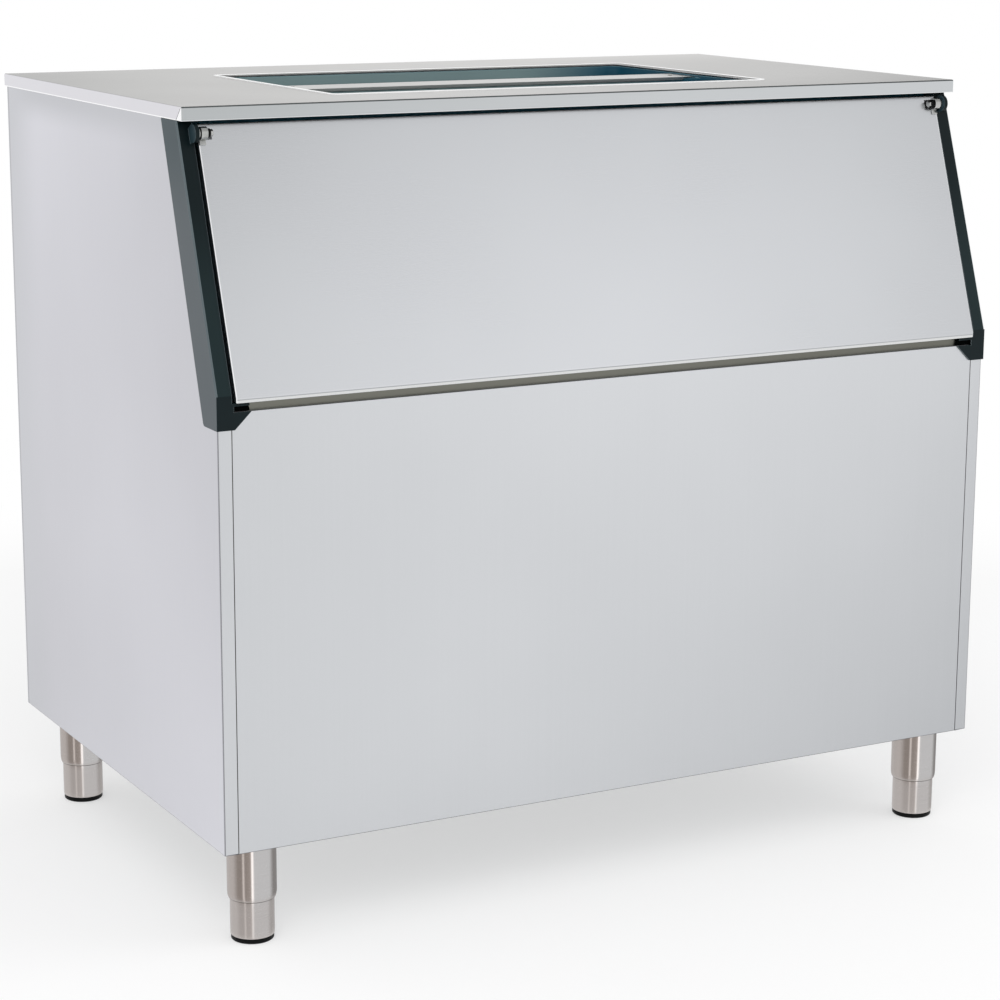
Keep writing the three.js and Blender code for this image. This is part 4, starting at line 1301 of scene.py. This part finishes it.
@dataclass
class Cavity(Assembly):
    """Moulded cavity with its throat and drain, and the foam round it."""

    edge: float = 0.0008
    inner: float = 0.001
    frame_edge: float = 0.0012
    drain_bore: float = 0.013
    drain_wall: float = 0.003
    flange_radius: float = 0.03
    flange_thickness: float = 0.003
    flange_ease: float = 0.0008
    spigot_sides: int = 64
    slot_edge: float = 0.0003

    def build(self) -> None:
        """Builds the liner's mouldings and the drain."""
        self.sheet("throat", "throat_liner", THROAT, self.edge, inner=self.inner)
        self.sheet("tub", "liner_tub", TEAL, self.frame_edge)
        low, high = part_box("drain_spigot")
        middle = middle_of("drain_spigot")
        outer = self.drain_bore + self.drain_wall
        seat = high.z - self.flange_thickness
        profile = eased(
            [(self.drain_bore, low.z), (outer, low.z), (outer, seat), (self.flange_radius, seat),
             (self.flange_radius, high.z), (self.drain_bore, high.z)], self.flange_ease)
        spigot = turned(profile, self.spigot_sides, closed=True)
        laid(spigot, Matrix.Translation((middle.x, middle.y, 0)))
        self.seat("drain_outlet", spigot, Body.CABINET, WHITE, ["drain_spigot"])
        self.sheet("drain_lock_nut", "drain_nut", WHITE, self.edge)
        self.sheet("drain_grid", "drain_strainer", HARDWARE, self.slot_edge)
        self.dress("insulation_foam", FOAM)


@dataclass
class Trims(Assembly):
    """Dark mouldings up both sides of the door, with foot block and hinge lug."""

    edge: float = 0.0005
    inner: float = 0.0004
    recess_floor: float = 0.0235
    recess_roof: float = 0.0315
    recess_reach: float = 0.001
    rim: float = 0.0004
    block_height: float = 0.05
    corner_lean: float = 0.4

    def height(self, face: Face) -> float:
        """Height of a face's middle above the trims' lower ends."""
        return face.calc_center_median().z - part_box("right_door_trim")[0].z

    def in_recess(self, face: Face) -> bool:
        """Whether a face is inside the recess of the foot block's hook.

        Args:
            face: a face of a trim.

        Returns:
            True for the recess's floor, roof and walls.
        """
        middle = face.calc_center_median()
        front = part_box("right_door_trim")[0].y
        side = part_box("door_skin")[1].x + self.recess_reach
        return (self.recess_floor - self.rim < self.height(face) < self.recess_roof + self.rim
                and abs(middle.x) < side + self.rim and middle.y > front + self.rim)

    def build(self) -> None:
        """Builds both trims."""
        for side in Side:
            node = f"{side.word}_door_trim"
            # Parts: painted shade on the foot block and in the recess, a painted highlight on the
            # chamfer and painted sheen on the sides.
            self.sheet(f"{node}_moulding", node, DARK, self.edge, inner=self.inner, parts=[
                (FOOT, lambda face: self.height(face) < self.block_height),
                (CORNER, lambda face: self.corner_lean < abs(face.normal.x) < SQUARE_ON),
                (FLANK, lambda face: abs(face.normal.x) > SQUARE_ON),
                (RECESS, self.in_recess)])


@dataclass
class Door(Assembly):
    """Sloping door: folded pan, moulded inner panel, gasket and foam core."""

    tilt: float = math.radians(19.2)
    pan_edge: float = 0.0003
    pan_bend: float = 0.0018
    plug_bend: float = 0.003
    panel_edge: float = 0.0006
    gasket_width: float = 0.014
    gasket_corner: float = 0.014
    groove_width: float = 0.004
    groove_depth: float = 0.0015
    gasket_round: float = 0.0009

    def upright(self) -> Matrix:
        """Turn that lays the slope's plane level, with its outer side up."""
        return Matrix.Rotation(self.tilt - math.pi / 2, 4, "X")

    def gasket_section(self, thickness: float) -> list[Point]:
        """Section of the gasket, its sealing face down, with its X towards the middle.

        Args:
            thickness: its thickness across the door.

        Returns:
            The closed outline about the middle of its thickness.
        """
        half = thickness / 2
        side = (self.gasket_width - self.groove_width) / 2
        far = self.gasket_width - side
        corners = [
            (0, half), (self.gasket_width, half), (self.gasket_width, -half), (far, -half),
            (far, -half + self.groove_depth), (side, -half + self.groove_depth), (side, -half),
            (0, -half)]
        return eased(corners, self.gasket_round)

    def build(self, sweep: FrameSweep) -> None:
        """Builds the door's pieces.

        Args:
            sweep: the tree that sweeps sections.
        """
        # The side returns take DOOR_EDGE, a painted highlight.
        self.sheet("door_pan", "door_skin", DOOR, self.pan_edge, self.pan_bend, body=Body.DOOR,
                   parts=[(DOOR_EDGE, lambda face: abs(face.normal.x) > LEANING)])
        self.sheet("door_inner_moulding", "door_inner_panel", TEAL, self.panel_edge,
                   self.plug_bend, body=Body.DOOR)
        turn = self.upright()
        corners = np.array([turn @ v.co for v in frame["nodes"]["door_gasket"].data.vertices])
        low, high = Vector(corners.min(0)), Vector(corners.max(0))
        gasket = sweep.run(
            high.x - low.x, high.y - low.y, self.gasket_corner,
            self.gasket_section(high.z - low.z), RUBBER)
        laid(gasket, turn.inverted() @ Matrix.Translation((low + high) / 2))
        self.seat("door_seal", gasket, Body.DOOR, RUBBER, ["door_gasket"])
        self.dress("door_foam", FOAM)


@dataclass
class Hinges(Assembly):
    """Two hinges at the door's top corners: strap, bush, washer and hexagon-headed pin."""

    pin_radius: float = 0.004
    running_gap: float = 0.0003
    bush_radius: float = 0.006
    washer_radius: float = 0.007
    head_flats: float = 0.0088
    head_length: float = 0.004
    head_dome: float = 0.0006
    ease: float = 0.0003
    strap_edge: float = 0.0003
    ring_sides: int = 64
    shank_sides: int = 48
    head_sides: int = 6

    def on_axis(self, shape: Shape) -> Shape:
        """Lays a shape made about Z on the hinge's axis."""
        _, y, z = next(j["pos_m"] for j in frame["joints"] if j["name"] == "door_hinge")
        return laid(shape, Matrix.Translation((0, y, z)) @ Matrix.Rotation(math.pi / 2, 4, "Y"))

    def ring(self, node: str, outer: float) -> Shape:
        """Ring about the hinge's axis.

        Args:
            node: the CAD node that is as long.
            outer: its outer radius.

        Returns:
            The mesh, in place.
        """
        low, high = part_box(node)
        bore = self.pin_radius + self.running_gap
        profile = [(bore, low.x), (outer, low.x), (outer, high.x), (bore, high.x)]
        return self.on_axis(turned(eased(profile, self.ease), self.ring_sides, closed=True))

    def pin(self, side: Side) -> Shape:
        """Pin with its hexagon head towards the middle of the door.

        Args:
            side: the side it is on.

        Returns:
            The mesh, in place.
        """
        low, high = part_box(f"{side.word}_hinge_pin")
        sign = side.value
        tip = low.x if sign > 0 else high.x
        end = high.x if sign > 0 else low.x
        shoulder = tip + sign * self.head_length
        root = shoulder - sign * self.head_dome
        reach = self.head_flats / math.sqrt(3)
        face = reach - self.head_dome * 2
        shank = turned(
            [(0, root), (self.pin_radius, root), (self.pin_radius, end - sign * self.ease),
             (self.pin_radius - self.ease, end), (0, end)], self.shank_sides)
        head = turned(
            [(0, tip), (face, tip), (reach, tip + sign * self.head_dome), (reach, shoulder),
             (0, shoulder)], self.head_sides)
        return self.on_axis(joined(shank, head))

    def build(self) -> None:
        """Builds both hinges."""
        for side in Side:
            node = f"{side.word}_hinge"
            for kind, shape, body, finish in (
                    ("strap", softened(f"{node}_strap", self.strap_edge), Body.DOOR, HINGE),
                    ("bush", self.ring(f"{node}_bush", self.bush_radius), Body.DOOR, BLACK),
                    ("washer", self.ring(f"{node}_washer", self.washer_radius), Body.CABINET,
                     HINGE),
                    ("pin", self.pin(side), Body.CABINET, HINGE)):
                self.seat(f"{side.word}_{kind}", shape, body, finish, [f"{node}_{kind}"])


@dataclass
class Legs(Assembly):
    """Four tubular legs with their plates, and the screw-out feet on pads."""

    leg_radius: float = 0.0345
    leg_wall: float = 0.0015
    roll_height: float = 0.011
    plate_size: float = 0.078
    plate_thickness: float = 0.002
    plate_corner: float = 0.008
    foot_radius: float = 0.031
    foot_wall: float = 0.002
    foot_gap: float = 0.0004
    foot_floor: float = 0.003
    foot_ease: float = 0.0016
    pad_radius: float = 0.03
    pad_chamfer: float = 0.0015
    pad_ease: float = 0.0004
    mouth_share: float = 0.1
    roll_steps: int = 10
    corner_steps: int = 6
    ease_steps: int = 5
    sides: int = 128
    pad_sides: int = 96

    def leg(self, low: float, high: float) -> Shape:
        """One leg about the Z axis.

        Args:
            low: height of its rolled-in lower end.
            high: height of its plate's upper face.

        Returns:
            The tube with its plate.
        """
        mouth = self.foot_radius + self.foot_gap
        roll_top = low + self.roll_height
        under = high - self.plate_thickness
        bore = self.leg_radius - self.leg_wall
        inward = self.leg_radius - mouth - self.leg_wall / 2
        roll = []
        for i in range(1, self.roll_steps + 1):
            turn = i / self.roll_steps * math.pi / 2
            roll.append((
                self.leg_radius - inward * (1 - math.cos(turn)),
                roll_top - self.roll_height * math.sin(turn)))
        top = under + self.plate_thickness / 2
        profile = [
            (bore, top), (bore, roll_top), (mouth, low + self.roll_height * self.mouth_share),
            (mouth, low), *reversed(roll), (self.leg_radius, roll_top), (self.leg_radius, top)]
        tube = turned(profile, self.sides, closed=True)
        corners = square(self.plate_size)
        plate = prism(eased(corners, self.plate_corner, steps=self.corner_steps), under, high)
        return joined(tube, plate)

    def foot(self, low: float, high: float) -> Shape:
        """One foot, a cup about the Z axis.

        Args:
            low: height of its lower end.
            high: height of its open upper end.

        Returns:
            The mesh.
        """
        bore = self.foot_radius - self.foot_wall
        floor = low + self.foot_floor
        outside = eased(
            [(0, low), (self.foot_radius, low), (self.foot_radius, high), (bore, high),
             (bore, floor), (0, floor)], self.foot_ease, closed=False, steps=self.ease_steps)
        return turned(outside, self.sides)

    def pad(self, low: float, high: float) -> Shape:
        """One pad about the Z axis.

        Args:
            low: height of its lower face.
            high: height of its upper face.

        Returns:
            The mesh.
        """
        edge = self.pad_radius - self.pad_chamfer
        profile = eased(
            [(0, low), (edge, low), (self.pad_radius, low + self.pad_chamfer),
             (self.pad_radius, high), (0, high)], self.pad_ease, closed=False)
        return turned(profile, self.pad_sides)

    def build(self, grid: GridOfCopies) -> None:
        """Builds the four legs as one piece, and each foot and its pad as pieces of their own.

        Args:
            grid: the tree that sets out copies.
        """
        low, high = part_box("left_front_leg")
        first, last = middle_of("left_front_leg"), middle_of("right_rear_leg")
        legs = grid.run(
            last.x - first.x, last.y - first.y, 2, 2, self.leg(low.z, high.z), LEG_TUBE)
        middle = (first + last) / 2
        laid(legs, Matrix.Translation((middle.x, middle.y, 0)))
        self.seat("legs", legs, Body.CABINET, LEG_TUBE, [f"{end}_leg" for end in LEG_ENDS])
        for end in LEG_ENDS:
            body = Body(f"{end}_foot_body")
            for kind, make, finish in (("foot", self.foot, LEG), ("foot_pad", self.pad, BLACK)):
                node = f"{end}_{kind}"
                low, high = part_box(node)
                middle = middle_of(node)
                shape = laid(make(low.z, high.z), Matrix.Translation((middle.x, middle.y, 0)))
                self.seat(f"{node}_turned", shape, body, finish, [node])


@dataclass
class Studio:
    """Pale floor, soft light and the photograph's viewing angle."""

    azimuth: float = math.radians(-28.49)
    elevation: float = math.radians(12.62)
    roll: float = math.radians(0.28)
    distance: float = 4.237
    aim: Triple = (0.0, -0.0264, 0.4985)
    focus_pixels: float = 2737.2
    frame_pixels: float = 1000.0
    sensor: float = 36.0
    plain_level: float = 0.9
    high_level: float = 0.6
    high_start: float = 0.41
    high_end: float = 0.67
    shadow_share: float = 0.5
    floor_size: float = 60.0
    floor_drop: float = 0.0002
    paper_tone: Colour = (0.93, 0.93, 0.93, 1.0)
    paper_roughness: float = 0.9
    card_radius: float = 0.047
    card_height: float = 0.139
    card_lift: float = 0.002
    card_sides: int = 96
    card_power: float = 4.0
    card_stripes: tuple[Triple, ...] = (
        (0.0, 0.18, 0.05), (0.02, 0.17, 0.05), (0.065, 0.1, 0.15), (0.105, 0.1, 0.15),
        (0.114, 0.26, 0.08), (0.12, 0.26, 0.08), (0.13, 0.1, 0.15), (0.178, 0.13, 0.15),
        (0.187, 0.46, 0.0), (0.195, 0.46, 0.0), (0.205, 0.21, -0.09), (0.35, 0.21, -0.09),
        (0.4, 0.09, 0.0), (0.56, 0.08, 0.0), (0.62, 0.12, 0.0), (0.8, 0.16, 0.0),
        (1.0, 0.18, 0.05))
    card_evening: float = 0.55
    card_mean: float = 0.19
    card_warmth: tuple[float, float] = (0.6, 1.0)
    card_step: float = -0.017
    card_soft: float = 0.004
    fade_start: float = 1.2
    fade_end: float = 2.4
    lamp_size: float = 2.6
    lamps: tuple[tuple[str, Triple, float], ...] = (
        ("key_light", (-2.6, -3.4, 3.4), 60.0), ("fill_light", (3.2, -2.2, 2.6), 30.0))

    def camera(self) -> None:
        """Sets up the camera."""
        data = bpy.data.cameras.new("camera")
        data.sensor_width = self.sensor
        data.lens = self.focus_pixels / self.frame_pixels * self.sensor
        data.clip_end = self.floor_size
        camera = linked("camera", data)
        back = Vector((
            math.sin(self.azimuth) * math.cos(self.elevation),
            -math.cos(self.azimuth) * math.cos(self.elevation), math.sin(self.elevation)))
        turn = (-back).to_track_quat("-Z", "Y").to_matrix().to_4x4()
        place = Matrix.Translation(Vector(self.aim) + back * self.distance)
        camera.matrix_world = place @ turn @ Matrix.Rotation(self.roll, 4, "Z")
        bpy.context.scene.camera = camera

    def seen(self, tree: Tree) -> tuple[Wire, Wire]:
        """Tells the rays apart that show the studio itself.

        Args:
            tree: the tree that the test is added to.

        Returns:
            1 for rays from the camera, and 1 for rays from the camera or off metal or glass.
        """
        path = tree.node("ShaderNodeLightPath")
        camera = Wire(tree, path.outputs["Is Camera Ray"])
        glossy = Wire(tree, path.outputs["Is Glossy Ray"])
        through = Wire(tree, path.outputs["Is Transmission Ray"])
        return camera, tree.math("MAXIMUM", camera, tree.math("MAXIMUM", glossy, through))

    def world(self) -> None:
        """White surroundings for what is seen, lower overhead, and a plain level of light."""
        world = bpy.data.worlds.new("studio")
        world.use_nodes = True
        bpy.context.scene.world = world
        tree = Tree(world.node_tree)
        camera, seen = self.seen(tree)
        direction = tree.wire("ShaderNodeTexCoord", output="Generated")
        height = tree.wire("ShaderNodeSeparateXYZ", {}, {"Vector": direction}, "Z")
        overhead = tree.span(height, self.high_start, self.high_end, 1.0, self.high_level)
        level = camera + (1.0 - camera) * overhead
        shown = tree.wire("ShaderNodeBackground", {}, {"Color": WHITE_LIGHT, "Strength": level})
        plain = tree.wire(
            "ShaderNodeBackground", {}, {"Color": WHITE_LIGHT, "Strength": self.plain_level})
        mixed = tree.wire("ShaderNodeMixShader", {}, {0: seen, 1: plain, 2: shown})
        tree.node("ShaderNodeOutputWorld", {}, {"Surface": mixed})

    def lamp(self, name: str, place: Triple, power: float) -> None:
        """Adds a square soft light that faces the bin.

        Args:
            name: its name.
            place: where it stands.
            power: its power in watts.
        """
        data = bpy.data.lights.new(name, "AREA")
        data.size = self.lamp_size
        data.energy = power
        lamp = linked(name, data)
        lamp.location = place
        lamp.rotation_euler = (Vector(self.aim) - Vector(place)).to_track_quat("-Z", "Y").to_euler()
        lamp.visible_glossy = False

    def floor(self) -> None:
        """Adds a pale floor that keeps the bin's shadow and turns white away from it."""
        mesh = bpy.data.meshes.new("floor")
        mesh.from_pydata(
            [(x, y, -self.floor_drop) for x, y in square(self.floor_size)], [], [(0, 1, 2, 3)])
        board = Board("floor_paper")
        _, seen = self.seen(board)
        away = board.vectors("LENGTH", board.place(), output="Value")
        fade = board.span(away, self.fade_start, self.fade_end, 0.0, 1.0)
        paper = board.wire(
            "ShaderNodeBsdfPrincipled", {},
            {"Base Color": self.paper_tone, "Roughness": self.paper_roughness,
             "Specular IOR Level": 0.0})
        white = board.wire("ShaderNodeEmission", {}, {"Color": WHITE_LIGHT, "Strength": 1.0})
        share = board.math("MAXIMUM", fade, self.shadow_share)
        mixed = board.wire("ShaderNodeMixShader", {}, {0: share * seen, 1: paper, 2: white})
        mesh.materials.append(board.end(mixed))
        linked("floor", mesh)

    def leg_card(self, name: str, middle: Vector) -> None:
        """Stands a ring of light and dark stripes round a leg, which only its steel mirrors.

        Args:
            name: the card's name.
            middle: a point on the leg's axis.
        """
        ring = bmesh.new()
        bmesh.ops.create_cone(
            ring, segments=self.card_sides, radius1=self.card_radius, radius2=self.card_radius,
            depth=self.card_height)
        card = linked(name, mesh_of(name, ring))
        card.location = (middle.x, middle.y, self.card_height / 2 + self.card_lift)
        for way in ("visible_camera", "visible_diffuse", "visible_shadow", "visible_transmission"):
            setattr(card, way, False)
        board = Board(name)
        turn = board.math("ARCTAN2", board.axis("Y"), board.axis("X"))
        green, blue = self.card_warmth
        stops = [(place, (level, level * (1 - warm * green), level * (1 - warm * blue), 1.0))
                 for place, level, warm in self.card_stripes]
        stripes = board.wire(
            "ShaderNodeValToRGB", {"stops": stops}, {"Fac": turn * (0.5 / math.pi) + 0.5})
        even = board.span(
            board.axis("Z"), self.card_step - self.card_soft, self.card_step + self.card_soft,
            self.card_evening, 0.0)
        mean = (self.card_mean, self.card_mean, self.card_mean, 1.0)
        light = board.wire(
            "ShaderNodeEmission", {},
            {"Color": board.mix(even, stripes, mean), "Strength": self.card_power})
        card.data.materials.append(board.end(light))

    def build(self) -> None:
        """Builds the studio."""
        self.camera()
        self.world()
        self.floor()
        for end in LEG_ENDS:
            self.leg_card(f"{end}_leg_card", middle_of(f"{end}_leg"))
        for name, place, power in self.lamps:
            self.lamp(name, place, power)
        bpy.context.scene.view_settings.view_transform = "Standard"
        log.info("studio: camera, two soft lights and the floor")


def main() -> None:
    """Builds the studio and each sub-assembly in order."""
    logging.basicConfig(level=logging.INFO, format="%(message)s")
    Studio().build()
    sweep = FrameSweep()
    grid = GridOfCopies()
    Shell().build()
    Top().build(sweep, grid)
    Cavity().build()
    Trims().build()
    Door().build(sweep)
    Hinges().build()
    Legs().build(grid)
    BackScrews().build(grid)


if __name__ == "__main__":
    main()
